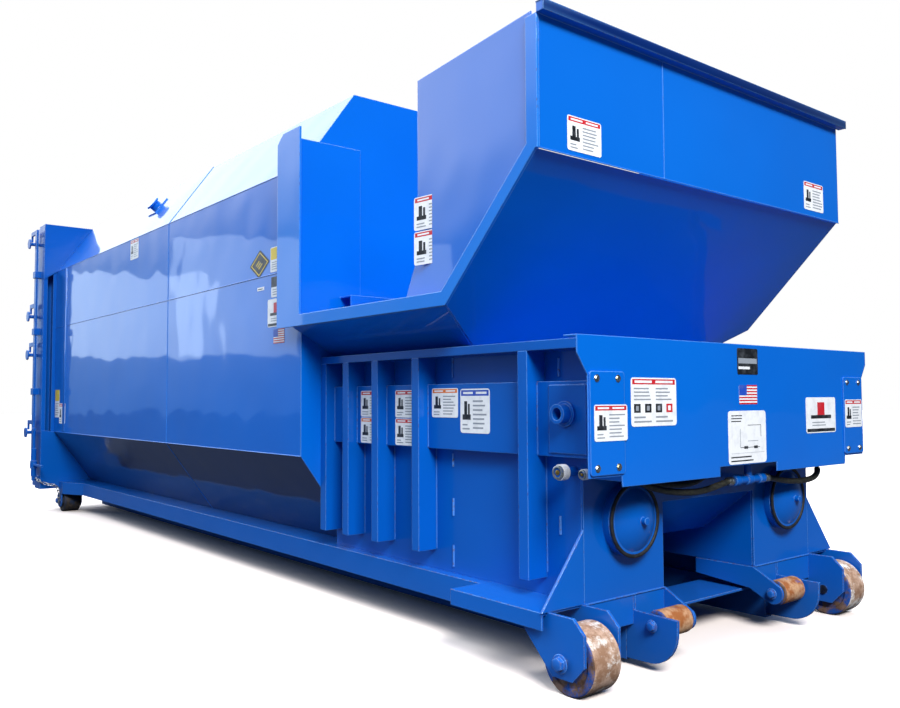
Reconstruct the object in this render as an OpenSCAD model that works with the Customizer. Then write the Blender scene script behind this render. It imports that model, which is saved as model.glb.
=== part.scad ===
// Self-contained roll-off trash compactor: a side-loading hopper over a hydraulic charge box,
// welded to an eight-sided container on hoist rails, with a full-height rear door.
// X is across the machine, Y runs from the packing end (-Y) to the rear door (+Y), Z is up.
// Every length below is measured from the plane of the front cover, and the whole machine
// is then moved along Y so that its origin is at the middle of its footprint.

/* [Container] */
// Half the outside width across the upright sides
con_half_w = 986; // [860:1:1185]
// Height of the upright part of each side
con_side_h = 1468; // [1220:1:1765]
// Height that the lower slopes rise
low_slope_h = 455; // [379:1:546]
// Width that each lower slope takes from the floor
low_slope_w = 329; // [274:1:395]
// Height that the roof slopes rise
roof_slope_h = 435; // [362:1:522]
// Width that each roof slope takes from the roof
roof_slope_w = 310; // [258:1:372]
// Length of the container between its front wall and the rear frame
con_len = 4589; // [3824:1:5507]
// Thickness of the container plates
con_t = 6; // [4:1:8]
// Distance of the roof port from the container's front wall
port_y = 2530; // [2110:1:3036]

/* [Charge box] */
// Distance from the cover plane to the container's front wall
box_len = 1872; // [1850:1:2246]
// Half the outside width of the charge box
box_half_w = 776; // [776:1:860]
// Thickness of the charge box walls
box_t = 12; // [10:1:15]
// Height of the top of the charge box
box_top_z = 1222; // [1222:1:1300]
// Distance from the cover plane to the tank front
tank_front_y = 187; // [187:1:200]
// Height of the ram floor's top face
ram_floor_z = 686; // [686:1:700]
// Half the width of the tunnel between the legs
tunnel_half_w = 319; // [266:1:380]
// Length of the tunnel from the tank front
tunnel_len = 900; // [750:1:1080]
// Depth of the side stiffeners
stiff_d = 97; // [81:1:116]
// Width of each side stiffener
stiff_w = 50; // [42:1:60]
// Depth of the cylinder channel on each side
chan_d = 44; // [40:1:50]
// Height of the cylinder channel
chan_h = 276; // [230:1:331]

/* [Hopper] */
// Overhang of the hopper beyond the upright sides of the container
hopper_over = 60; // [50:1:72]
// Height of the loading sill
sill_z = 1370; // [1330:1:1500]
// Height of the hopper's top edge
hopper_top_z = 2376; // [2100:1:2850]
// Height of the fold in the hopper front
fold_z = 1870; // [1700:1:2000]
// Distance from the cover plane to the hopper front
hopper_y = 131; // [109:1:157]
// Thickness of the hopper plates
hopper_t = 6; // [4:1:8]
// Width of the flange round the loading side
flange_w = 56; // [46:1:67]
// Width of the corner post plate
post_w = 232; // [193:1:278]
// Height of the breaker box above the charge box
breaker_h = 317; // [264:1:380]
// Depth of the breaker box
breaker_d = 110; // [91:1:132]

/* [Ram] */
// Length of the ram body
ram_len = 556; // [463:1:570]
// Height of the ram face
ram_h = 478; // [440:1:480]
// Thickness of the ram face plate
ram_face_t = 30; // [25:1:36]
// Outside radius of the cylinder barrel
barrel_r = 65; // [60:1:66]
// Step down in radius from one cylinder stage to the next
stage_step = 12; // [10:1:13]
// Height of the cylinder axes
cyl_z = 953; // [940:1:965]
// Distance of the cylinder axes from the middle
cyl_x = 733; // [730:1:734]

/* [Pin tubes] */
// Outside radius of the cylinder pin tube
pin_tube_r = 35.5; // [30:0.5:40]
// Radius of the open bore in the pin tube
pin_bore_r = 22; // [18:0.5:26]
// Length that the pin tube stands out of the channel
pin_tube_out = 55; // [45:1:66]

/* [Front cover] */
// Half the width of the cover's top
cover_half_w = 1003; // [900:1:1080]
// Half the width of the cover's lower part
cover_low_half_w = 952; // [880:1:990]
// Height of the cover's lower edge
cover_low_z = 742; // [700:1:780]
// Depth of the two flaps below the cover
flap_h = 38; // [31:1:46]
// Thickness of the cover plate
cover_t = 5; // [4:1:6]

/* [Rails and wheels] */
// Outer face of the hoist rails from the middle
rail_half_w = 506; // [480:1:530]
// Width of each hoist rail
rail_w = 50; // [42:1:60]
// Height of the hoist rails' underside
rail_low_z = 20; // [16:1:24]
// Height where the cross members start
cross_z = 165; // [160:1:172]
// Underside of the container floor
floor_z = 270; // [262:1:280]
// Width of each outer rail
outer_rail_w = 168; // [140:1:202]
// Number of cross members
cross_count = 8; // [6:1:11]
// Radius of the front ground wheels
wheel_r = 118; // [100:1:124]
// Width of each ground wheel
wheel_w = 140; // [117:1:144]
// Radius of the rear ground wheels
rear_wheel_r = 100; // [84:1:104]
// Radius of the axles
axle_r = 20; // [16:1:24]
// Radius of the nose rollers
roller_r = 52; // [44:1:58]
// Radial running clearance of wheels on their axles
run_gap = 0.06; // [0.02:0.01:0.1]

/* [Rear frame and door] */
// Overhang of the rear frame beyond the upright sides of the container
frame_over = 110; // [92:1:132]
// Depth of the rear frame
frame_d = 180; // [150:1:216]
// Height of the frame's underside
frame_low_z = 210; // [204:1:230]
// Thickness of the door panel
door_t = 8; // [6:1:10]
// Depth of the door ribs
rib_d = 117; // [97:1:140]
// Number of horizontal door ribs
rib_count = 5; // [4:1:7]
// Height of each horizontal door rib
rib_h = 80; // [67:1:96]
// Thickness of the door seal
seal_t = 9.5; // [8:0.5:12]
// Radius of the hinge pins
hinge_pin_r = 12; // [10:1:14]
// Travel of the latch bar
latch_travel = 50; // [42:1:60]
// Radius of the door's keeper pins
keeper_r = 16; // [13:1:19]

/* [Clean-outs] */
// Distance of the clean-out covers from the middle
clean_x = 538; // [530:1:560]
// Height of the clean-out covers' middles
clean_z = 555; // [450:1:570]
// Radius of the clean-out openings
clean_r = 118; // [98:1:125]

/* [Hoses] */
// Radius of the hydraulic hoses
hose_r = 13; // [11:0.5:15]
// Radius of the safety chain's envelope
chain_r = 8; // [7:0.5:10]

/* [Hidden] */
$fn = 48;
BLUE = "#0b5bd0";
RUST = "#9a7458";
ZINC = "#c9ccd0";
BLACK = "#16181a";
OLIVE = "#2c2a20";
STEEL = "#b8bcc2";
GAP = 0.5;                      // clearance between pieces that slide on each other
SIDES = [-1, 1];

// Container section, a ring of eight edges seen from the front
floor_half_w = con_half_w - low_slope_w;
roof_half_w = con_half_w - roof_slope_w;
side_low_z = floor_z + low_slope_h;
side_high_z = side_low_z + con_side_h;
roof_z = side_high_z + roof_slope_h;
RING = [
    [-floor_half_w, floor_z], [floor_half_w, floor_z],
    [con_half_w, side_low_z], [con_half_w, side_high_z],
    [roof_half_w, roof_z], [-roof_half_w, roof_z],
    [-con_half_w, side_high_z], [-con_half_w, side_low_z]
];
con_y0 = box_len;
con_y1 = box_len + con_len;
ring_y0 = con_y0 + con_t;

// Charge box
box_in_w = box_half_w - box_t;
box_floor_t = 10;
ram_floor_t = 12;
tank_wall_y = tank_front_y + 10;
lug_y = tank_front_y + 33;
eye_r = 54;
bay_low_z = cover_low_z - 20;
chan_x = box_half_w + chan_d;
chan_z0 = cyl_z - chan_h / 2 - 19;
chan_z1 = chan_z0 + chan_h;
chan_t = 5;
slot_half_h = barrel_r + 13;
slot_y0 = lug_y - eye_r - 8;
slot_y1 = con_y0 - 48;
rail_tube_h = 35;
stiff_z1 = box_top_z - rail_tube_h;
STIFF_Y = [372, 1045, 1360, 1613, con_y0 - stiff_w - 1];
STIFF_Z0 = [340, 355, 355, 355, 355];
tunnel_t = 10;
tunnel_top_z = 610;
tunnel_low_z = 414;
tunnel_fold_y = 444;
tunnel_y1 = tank_front_y + tunnel_len;

// Hopper
hop_w = con_half_w + hopper_over;
hop_slope = fold_z + hopper_y + 12;     // the slope lies where y + z has this value
sill_y = hop_slope - sill_z;
mouth_y = hop_slope - box_top_z;
bar_t = 10;
post_y0 = con_y0 - 82;
post_y1 = post_y0 + post_w;
ledge_t = 6;
guard_top_z = hopper_top_z - 46;
guard_in_x = con_half_w - 345;
wing_y0 = hopper_y + 38;
wing_len = 780;
wing_turn = 6.4;
wing_foot = 115;
function wing_at(y) = -hop_w + bar_t + hopper_t + (y - wing_y0) * tan(wing_turn);

// Ram and cylinders
ram_y1 = mouth_y + 9;
ram_y0 = ram_y1 - ram_face_t - ram_len;
ram_z0 = ram_floor_z + GAP;
ram_z1 = ram_z0 + ram_h;
ram_face_w = box_in_w - 7;
ram_body_w = cyl_x - barrel_r - 17;
ram_t = 12;
guide_w = 40;
guide_z0 = ram_z1 + 2;
guide_h = 15;
follow_z = guide_z0 + guide_h + GAP;
follow_t = 12;
follow_y0 = ram_y0;
follow_y1 = mouth_y - 3;
barrel_y0 = lug_y + eye_r + 1;
barrel_y1 = 740;
gland_w = 12;
stage1_r = barrel_r - stage_step;
stage2_r = stage1_r - stage_step;
plunger_r = stage2_r - stage_step;
stage1_y1 = barrel_y1 + gland_w;
stage2_y1 = stage1_y1 + gland_w;
plunger_y1 = ram_y1 - ram_face_t;
pin_x0 = cyl_x - 52;
pin_x1 = chan_x + pin_tube_out;

// Front cover
access_w = 176;
access_h = 350;
access_t = 6;
access_round = 12;
access_x = -cover_low_half_w + 4;
access_z = box_top_z - 472;
bolt_r = 9;
bolt_head = 7;
flap_x0 = 203;
flap_x1 = 780;

// Rails, forks and wheels
rail_y0 = 223;
step_y0 = 195;
step_y1 = 692;
step_x1 = 985;
step_t = 10;
step_h = 61;
fork_t = 12;
fork_in = box_half_w;
fork_out = fork_in + fork_t + wheel_w + 2 * 10 + 1 + fork_t;
wheel_y = wheel_r;
wheel_mid = (fork_in + fork_out) / 2;
nose_t = 12;
arm_x = tunnel_half_w - 13;
roller_y = 95;
roller_z = 170;
roller_pin_r = 14;
roller_in = arm_x + nose_t + 10;
roller_out = rail_half_w - nose_t - 10;
corner_t = 10;
rear_axle_y = con_y1 - 35;
rear_wheel_mid = 845;
rear_cheek_half = wheel_w / 2 + 10;
rear_cheek_t = 10;
rear_box_y0 = con_y1 - 375;
cross_y0 = tunnel_y1 + 90;
nose_back_y = cross_y0;
cross_w = 60;
outer_rail_half_w = floor_half_w + outer_rail_w;
rail_y1 = con_y1 - corner_t;
rear_out_x = rear_wheel_mid + rear_cheek_half + rear_cheek_t;
rear_in_x = rear_wheel_mid - rear_cheek_half;
rear_top_t = 10;
flare_y = rear_box_y0 + 250;

// Rear frame and door
frame_half_w = con_half_w + frame_over;
rear_post_w = frame_over + con_t;
frame_y0 = con_y1;
frame_y1 = frame_y0 + frame_d;
frame_top_z = roof_z;
lip_w = 34;
post_t = 8;
header_h = 100;
sill_h = floor_z + con_t - frame_low_z;
door_half_w = frame_half_w - 10;
door_z0 = frame_low_z + 15;
door_z1 = frame_top_z - 10;
door_y0 = frame_y1 + seal_t + GAP;
door_y1 = door_y0 + door_t;
rib_y1 = door_y1 + rib_d;
seal_w = 40;
hinge_x = frame_half_w + 48;
hinge_y = rib_y1 - 20;
hinge_ring_r = hinge_pin_r + 12;
hw_out = hinge_x + hinge_ring_r;        // outermost hardware on both sides
knuckle_h = 70;
strap_len = 260;
strap_t = 10;
door_span = door_z1 - door_z0;
HINGE_Z = [for (i = [0:3]) door_z0 + door_span * (0.1 + 0.266 * i)];
KEEPER_Z = [for (f = [0.205, 0.505, 0.655, 0.94]) door_z0 + door_span * f];
GUIDE_Z = [for (f = [0.35, 0.58, 0.8]) door_z0 + door_span * f];
keeper_y = rib_y1 - 45;
disc_t = 12;
disc_r = 46;
bar_x1 = hw_out - disc_t - 18;
bar_x0 = bar_x1 - 15;
bar_y0 = frame_y1 - 75;
bar_y1 = frame_y1 - 15;
bar_z0 = door_z0 + 170;
bar_z1 = door_z1 - 30;
hook_clear = 10;
binder_x = frame_half_w + 38;
binder_y = bar_y0 - 31;
binder_z0 = door_z0 + 100;
binder_h = 250;
rod_r = 12;
binder_r = 22;
rod_lug_z = bar_z0 + 345;

// Clean-outs
collar_r = clean_r + 20;
collar_y0 = tank_front_y - 32;
cap_t = 8;
cap_y1 = collar_y0 - GAP;
dome_h = 38;
knob_r = 14;
knob_h = 24;

// Fore and aft ends, and the shift that centres the machine on its origin
nose_tip_y = -12;
mid_y = (nose_tip_y + rib_y1 + strap_t) / 2;

// ---- shared shapes ----

// Moves a piece from the cover plane's measure to the machine's origin
module centred() translate([0, -mid_y, 0]) children();

// A block between two corners
module block(low, high) translate(low) cube(high - low);

// Extrudes an outline drawn across the machine (x, z) from y0 to y1
module along_y(y0, y1) translate([0, y1, 0]) rotate([90, 0, 0]) linear_extrude(y1 - y0) children();

// Extrudes an outline drawn along the machine (y, z) from x0 to x1
module along_x(x0, x1)
    translate([x0, 0, 0]) rotate([90, 0, 90]) linear_extrude(x1 - x0) children();

// Round bars with their axes along X and along Y
module rod_x(x0, x1, r, y, z) translate([x0, y, z]) rotate([0, 90, 0]) cylinder(r = r, h = x1 - x0);
module rod_y(y0, y1, r, x, z) translate([x, y0, z]) rotate([-90, 0, 0]) cylinder(r = r, h = y1 - y0);

// The same piece on both sides of the machine
module both_sides() {
    children();
    mirror([1, 0, 0]) children();
}

// Corner i of a closed outline moved in by t along both its edges
function unit(v) = v / norm(v);
function edge(pts, i) = unit(pts[(i + 1) % len(pts)] - pts[i % len(pts)]);
function inset(pts, t, i) =
    let (a = edge(pts, i + len(pts) - 1), b = edge(pts, i))
    pts[i] + t * (b - a) / (a[0] * b[1] - a[1] * b[0]);

// Panel i of the container's ring, mitred to its neighbours
module ring_panel(i)
    let (j = (i + 1) % len(RING))
    along_y(ring_y0, con_y1)
        polygon([RING[i], RING[j], inset(RING, con_t, j), inset(RING, con_t, i)]);

// Everything above and behind the hopper's sloping front, moved back by t
module behind_slope(t = 0)
    translate([0, 0, hop_slope + t * sqrt(2)]) rotate([-45, 0, 0])
        translate([-4000, -4000, 0]) cube([8000, 8000, 4000]);

// A round tube swept along a route of points
function ring_at(p, d, r, n) =
    let (s = unit(cross(d, abs(d[2]) < 0.9 ? [0, 0, 1] : [0, 1, 0])), u = cross(s, d))
    [for (k = [0:n - 1]) p + r * (cos(360 * k / n) * s + sin(360 * k / n) * u)];
function heading(q, i) =
    unit(q[min(i + 1, len(q) - 1)] - q[max(i - 1, 0)]);
module swept(q, r, n = 10) {
    rings = [for (i = [0:len(q) - 1]) each ring_at(q[i], heading(q, i), r, n)];
    m = len(q);
    walls = [for (i = [0:m - 2], k = [0:n - 1])
        [i * n + k, i * n + (k + 1) % n, (i + 1) * n + (k + 1) % n, (i + 1) * n + k]];
    first = [for (k = [n - 1:-1:0]) k];
    last = [for (k = [0:n - 1]) (m - 1) * n + k];
    polyhedron(rings, concat(walls, [first, last]));
}
// A smooth curve through the route's points, with n steps between each pair
function spline(q, n = 2) = concat([for (i = [0:len(q) - 2], k = [0:n - 1])
    let (a = q[max(i - 1, 0)], b = q[i], c = q[i + 1], d = q[min(i + 2, len(q) - 1)], t = k / n)
    b + 0.5 * t * (c - a + t * (2 * a - 5 * b + 4 * c - d + t * (3 * (b - c) + d - a)))],
    [q[len(q) - 1]]);

// ---- container ----

module container_floor() color(BLUE) centred() ring_panel(0);

module side_panels() color(BLUE) centred() {
    ring_panel(2);
    ring_panel(6);
}

module roof_panel() color(BLUE) centred() ring_panel(4);

// Roof slopes, with a capped inspection port on the loading side
module roof_slopes() color(BLUE) centred() {
    ring_panel(3);
    ring_panel(5);
    port_w = 150;
    port_r = 42;
    translate([-con_half_w + 0.6 * roof_slope_w, con_y0 + port_y, side_high_z + 0.6 * roof_slope_h])
        rotate([0, -atan2(roof_slope_h, roof_slope_w), 0]) {
            translate([-port_w / 2, -port_w / 2, 0]) cube([port_w, port_w, 8]);
            cylinder(r = port_r, h = 44);
            translate([0, 0, 44]) cylinder(r = port_r + 14, h = 14);
        }
}

module lower_slopes() color(BLUE) centred() {
    ring_panel(1);
    ring_panel(7);
}

module container_front_wall() color(BLUE) centred() along_y(con_y0, con_y0 + con_t)
    difference() {
        polygon(RING);
        translate([-box_in_w, ram_floor_z - ram_floor_t])
            square([2 * box_in_w, box_top_z - 22 - ram_floor_z + ram_floor_t]);
    }

// ---- understructure ----

module outer_rails() color(BLUE) centred() both_sides() {
    difference() {
        block([-outer_rail_half_w, step_y1, cross_z], [-floor_half_w, rail_y1, floor_z]);
        block([-outer_rail_half_w + 8, step_y1 - 1, cross_z + 8],
            [-floor_half_w - 8, rail_y1 + 1, floor_z - 8]);
        block([-outer_rail_half_w - 1, flare_y, cross_z - 1],
            [-rear_in_x, rail_y1 + 1, floor_z - rear_top_t]);
    }
    rear_wheel_box();
}

// Flared box at the back of each outer rail, with the cheeks that hold the rear wheel
module rear_wheel_box() {
    boss_r = 60;
    under_z = floor_z - rear_top_t;
    translate([0, 0, under_z]) linear_extrude(rear_top_t)
        polygon([[-outer_rail_half_w, rear_box_y0], [-rear_out_x, flare_y],
            [-rear_out_x, rail_y1], [-outer_rail_half_w, rail_y1]]);
    translate([0, 0, cross_z]) linear_extrude(under_z - cross_z)
        polygon([[-outer_rail_half_w, rear_box_y0], [-rear_out_x, flare_y],
            [-rear_out_x, flare_y + 12], [-outer_rail_half_w, rear_box_y0 + 12]]);
    for (x = [-rear_out_x, -rear_in_x])
        along_x(x, x + rear_cheek_t) difference() {
            union() {
                translate([flare_y + 16, cross_z])
                    square([rail_y1 - flare_y - 16, under_z - cross_z]);
                translate([rear_axle_y - boss_r, rear_wheel_r]) square([2 * boss_r, cross_z - rear_wheel_r]);
                translate([rear_axle_y, rear_wheel_r]) circle(r = boss_r);
            }
            translate([rear_axle_y, rear_wheel_r]) circle(r = axle_r);
            translate([rail_y1, frame_low_z - 2]) square([200, 200]);
        }
}

module hoist_rails() color(BLUE) centred() both_sides() difference() {
    block([-rail_half_w, rail_y0, rail_low_z], [-rail_half_w + rail_w, frame_y1 - 40, cross_z]);
    block([-rail_half_w + 8, rail_y0 - 1, rail_low_z + 8],
        [-rail_half_w + rail_w - 8, frame_y1 - 39, cross_z - 8]);
}

module cross_members() color(BLUE) centred() {
    pitch = (con_y1 - 160 - cross_y0) / (cross_count - 1);
    for (i = [0:cross_count - 1])
        translate([0, cross_y0 + i * pitch, 0]) {
            block([-floor_half_w, 0, cross_z], [floor_half_w, 8, floor_z]);
            block([-floor_half_w, 8, cross_z], [floor_half_w, cross_w, cross_z + 8]);
            block([-floor_half_w, 8, floor_z - 8], [floor_half_w, cross_w, floor_z]);
        }
    both_sides() {
        block([-fork_in, tank_front_y, cross_z - 5], [-rail_half_w, tank_front_y + 12, floor_z]);
        block([-rail_half_w + nose_t, tank_front_y, cross_z - 5],
            [-arm_x - nose_t, tank_front_y + 12, floor_z]);
    }
    block([-rail_half_w + rail_w, 250, cross_z - 10], [rail_half_w - rail_w, 480, cross_z]);
}

// ---- rear frame ----

// Lipped channel with its slot towards the front
module rear_posts() color(BLUE) centred() both_sides()
    translate([0, 0, frame_low_z]) linear_extrude(frame_top_z - frame_low_z) difference() {
        translate([-frame_half_w, frame_y0]) square([rear_post_w, frame_d]);
        translate([-frame_half_w + post_t, frame_y0 + post_t])
            square([rear_post_w - 2 * post_t, frame_d - 2 * post_t]);
        translate([-frame_half_w + lip_w, frame_y0 - 1])
            square([rear_post_w - 2 * lip_w, post_t + 2]);
    }

module rear_crossbars() color(BLUE) centred() {
    inner = frame_half_w - rear_post_w;
    along_x(-inner, inner) difference() {
        translate([frame_y0, frame_top_z - header_h]) square([frame_d, header_h]);
        translate([frame_y0 + 6, frame_top_z - header_h + 6]) square([frame_d - 12, header_h - 12]);
    }
    along_x(-inner, inner) difference() {
        translate([frame_y0, frame_low_z]) square([frame_d, sill_h]);
        translate([frame_y0 + 6, frame_low_z + 6]) square([frame_d - 12, sill_h - 12]);
    }
}

module corner_plates() color(BLUE) centred() both_sides() along_y(con_y1 - corner_t, con_y1) {
    polygon([[-frame_half_w, frame_top_z], [-frame_half_w, side_high_z - 77],
        [-con_half_w, side_high_z], [-roof_half_w, roof_z]]);
    polygon([[-frame_half_w, side_low_z + 17], [-frame_half_w, frame_low_z],
        [-floor_half_w, frame_low_z], [-floor_half_w, floor_z], [-con_half_w, side_low_z]]);
}

// ---- door ----

module door_panel() color(BLUE) centred()
    block([-door_half_w, door_y0, door_z0], [door_half_w, door_y1, door_z1]);

// Horizontal channels across the door, and an upright channel at each edge
module door_ribs() color(BLUE) centred() {
    pitch = (door_span - rib_h) / (rib_count - 1);
    side_w = 60;
    rib_t = 6;
    difference() {
        union() {
            for (i = [0:rib_count - 1])
                block([-door_half_w, door_y1, door_z0 + i * pitch],
                    [door_half_w, rib_y1, door_z0 + i * pitch + rib_h]);
            for (s = SIDES)
                translate([s * (door_half_w - side_w / 2), 0, 0])
                    block([-side_w / 2, door_y1, door_z0], [side_w / 2, rib_y1, door_z1]);
        }
        for (i = [0:rib_count - 1])
            block([-door_half_w + rib_t, door_y1 - 1, door_z0 + i * pitch + rib_t],
                [door_half_w - rib_t, rib_y1 - rib_t, door_z0 + i * pitch + rib_h - rib_t]);
    }
}

module door_seal() color(BLACK) centred() along_y(frame_y1 + GAP, door_y0) difference() {
    outer = door_half_w - 12;
    translate([-outer, door_z0 + 4]) square([2 * outer, door_span - 8]);
    translate([-outer + seal_w, door_z0 + 4 + seal_w])
        square([2 * (outer - seal_w), door_span - 8 - 2 * seal_w]);
}

// Ring round a hinge pin with an arm to a plate, drawn from above
module knuckle(z0, h) translate([0, 0, z0]) linear_extrude(h) difference() {
    union() {
        translate([hinge_x, hinge_y]) circle(r = hinge_ring_r);
        children();
    }
    translate([hinge_x, hinge_y]) circle(r = hinge_pin_r + run_gap);
}

module hinge_straps() color(BLUE) centred() for (z = HINGE_Z) {
    knuckle(z, knuckle_h) translate([door_half_w, hinge_y - 8]) square([hinge_x - door_half_w, 20]);
    block([door_half_w - strap_len, rib_y1, z], [door_half_w, rib_y1 + strap_t, z + knuckle_h]);
}

module hinge_brackets() color(BLUE) centred() for (z = HINGE_Z) {
    for (z0 = [z - knuckle_h - 1, z + knuckle_h + 1])
        translate([0, 0, z0]) linear_extrude(knuckle_h) difference() {
            union() {
                translate([hinge_x, hinge_y]) circle(r = hinge_ring_r);
                translate([frame_half_w, frame_y0 + 60]) square([12, hinge_y - frame_y0 - 60]);
                translate([frame_half_w, hinge_y - 20]) square([hinge_x - frame_half_w, 20]);
            }
            translate([hinge_x, hinge_y]) circle(r = hinge_pin_r);
        }
}

module hinge_pins() color(ZINC) centred() for (z = HINGE_Z)
    translate([hinge_x, hinge_y, z - knuckle_h - 6]) {
        cylinder(r = hinge_pin_r, h = 3 * knuckle_h + 12);
        translate([0, 0, 3 * knuckle_h + 8]) cylinder(r = hinge_pin_r + 6, h = 10);
    }

// Pins that the latch hooks catch, each with a wide head
module keeper_pins() color(BLUE) centred() for (z = KEEPER_Z) {
    rod_x(-hw_out + disc_t, -door_half_w, keeper_r, keeper_y, z);
    rod_x(-hw_out, -hw_out + disc_t, disc_r, keeper_y, z);
}

// ---- latch ----

module latch_bar() color(BLUE) centred() {
    block([-bar_x1, bar_y0, bar_z0], [-bar_x0, bar_y1, bar_z1]);
    for (z = KEEPER_Z) {
        arm_z = z + keeper_r + hook_clear + latch_travel;
        tip_y = keeper_y + keeper_r + hook_clear;
        block([-bar_x1, bar_y1, arm_z], [-bar_x0, tip_y + 22, arm_z + 38]);
        block([-bar_x1, tip_y, arm_z - latch_travel], [-bar_x0, tip_y + 22, arm_z]);
    }
    block([-binder_x - 14, binder_y - 14, rod_lug_z], [-bar_x0, bar_y0, rod_lug_z + 20]);
    translate([-binder_x, binder_y, binder_z0 + 90]) cylinder(r = rod_r, h = rod_lug_z - binder_z0 - 90);
}

// Brackets on the post that hold the bar against it
module latch_guides() color(BLUE) centred() for (z = GUIDE_Z)
    translate([0, 0, z]) linear_extrude(60) difference() {
        translate([-bar_x1 - 11, bar_y0 - 10]) square([bar_x1 + 11 - frame_half_w, bar_y1 - bar_y0 + 20]);
        translate([-bar_x1 - GAP, bar_y0 - GAP])
            square([bar_x1 - bar_x0 + 2 * GAP, bar_y1 - bar_y0 + 2 * GAP]);
    }

// Barrel that the threaded rod screws into, on a lug welded to the post
module binder_body() color(BLUE) centred() {
    difference() {
        translate([-binder_x, binder_y, binder_z0]) cylinder(r = binder_r, h = binder_h);
        translate([-binder_x, binder_y, binder_z0 + 30]) cylinder(r = rod_r + GAP, h = binder_h);
    }
    block([-binder_x - 14, binder_y - 14, binder_z0 - 40], [-frame_half_w, binder_y + 14, binder_z0]);
    for (z = [binder_z0 + 70, binder_z0 + 131])
        translate([-binder_x, binder_y, z]) difference() {
            cylinder(r = binder_r + 8, h = 8);
            translate([0, 0, -1]) cylinder(r = binder_r, h = 10);
        }
}

// Ratchet ring with a long lever
module binder_handle() color(BLUE) centred() {
    z = binder_z0 + 79;
    h = 51;
    translate([-binder_x, binder_y, z]) {
        difference() {
            cylinder(r = binder_r + 8, h = h);
            translate([0, 0, -1]) cylinder(r = binder_r + GAP, h = h + 2);
        }
        translate([-9, -300, h / 2 - 9]) cube([18, 300 - binder_r - 5, 18]);
    }
}

// Chain between the post's lower lug and the foot of the rear wheel box
CHAIN = [
    [-1120, 60, 100], [-1120, 40, 100], [-1118, -5, 88], [-1095, -42, 66], [-1050, -60, 46],
    [-1000, -72, 36], [-962, -80, 16], [-952, -84, -40], [-954, -80, -100], [-956, -78, -128],
    [-935, -75, -135]
];
module safety_chain() color(ZINC) centred() translate([0, con_y1, frame_low_z])
    swept(spline(CHAIN), chain_r, 8);

// ---- charge box ----

module box_sides() color(BLUE) centred() both_sides() along_x(-box_half_w, -box_in_w) difference() {
    polygon([[tank_wall_y, floor_z], [con_y0, floor_z], [con_y0, box_top_z], [cover_t, box_top_z],
        [cover_t, bay_low_z], [tank_wall_y, bay_low_z]]);
    translate([slot_y0, cyl_z - slot_half_h]) square([slot_y1 - slot_y0, 2 * slot_half_h]);
}

// Bottom plate of the tank round the tunnel, and the floor that the ram runs on
module box_floors() color(BLUE) centred() {
    difference() {
        block([-box_in_w, tank_wall_y, floor_z], [box_in_w, con_y0, floor_z + box_floor_t]);
        block([-tunnel_half_w - tunnel_t, tank_wall_y - 1, floor_z - 1],
            [tunnel_half_w + tunnel_t, tunnel_y1 + tunnel_t, floor_z + box_floor_t + 1]);
    }
    block([-box_in_w, tank_wall_y, ram_floor_z - ram_floor_t], [box_in_w, con_y0 + con_t, ram_floor_z]);
    both_sides() block([-box_in_w, ram_y0, guide_z0], [-box_in_w + guide_w, con_y0, guide_z0 + guide_h]);
}

module tank_front() color(BLUE) centred() along_y(tank_front_y, tank_wall_y) difference() {
    union() {
        translate([-box_half_w, floor_z]) square([2 * box_half_w, bay_low_z - floor_z]);
        translate([-box_in_w, bay_low_z - 1]) square([2 * box_in_w, box_top_z - 6 - bay_low_z]);
    }
    translate([-tunnel_half_w, floor_z - 1]) square([2 * tunnel_half_w, tunnel_top_z - 9 - floor_z + 1]);
    for (s = SIDES) {
        translate([s * clean_x, clean_z]) circle(r = clean_r);
        translate([s * (pin_x0 - 6 + 50) - 50, cyl_z - eye_r - 6]) square([100, 2 * eye_r + 12]);
    }
}

// Walls, sloping roof, flat roof and end of the tunnel
module tunnel_plates() color(BLUE) centred() {
    roof = tunnel_top_z - 9;
    both_sides() along_x(-tunnel_half_w - tunnel_t, -tunnel_half_w)
        translate([tank_wall_y, floor_z])
            square([tunnel_y1 + tunnel_t - tank_wall_y, tunnel_top_z - floor_z]);
    along_x(-tunnel_half_w, tunnel_half_w)
        polygon([[tank_wall_y, roof], [tunnel_fold_y, tunnel_low_z], [tunnel_y1, tunnel_low_z],
            [tunnel_y1, floor_z], [tunnel_y1 + tunnel_t, floor_z],
            [tunnel_y1 + tunnel_t, tunnel_low_z + 8], [tunnel_fold_y + 3, tunnel_low_z + 8],
            [tank_wall_y, roof + 9]]);
}

// Upright stiffeners, notched round the cylinder channel, and the gussets over the steps
module body_stiffeners() color(BLUE) centred() both_sides() {
    difference() {
        for (i = [0:len(STIFF_Y) - 1])
            block([-box_half_w - stiff_d, STIFF_Y[i], STIFF_Z0[i]],
                [-box_half_w, STIFF_Y[i] + stiff_w, stiff_z1]);
        block([-chan_x, 0, chan_z0], [0, con_y0, chan_z1]);
    }
    along_y(tank_front_y, tank_wall_y)
        polygon([[-box_half_w, floor_z + 3], [-box_half_w - 214, floor_z + 3],
            [-box_half_w, floor_z + 266]]);
}

module top_rails() color(BLUE) centred() both_sides() along_y(cover_t, con_y0) difference() {
    translate([-box_half_w - stiff_d, stiff_z1]) square([stiff_d, rail_tube_h]);
    translate([-box_half_w - stiff_d + 5, stiff_z1 + 5]) square([stiff_d - 10, rail_tube_h - 10]);
}

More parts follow.
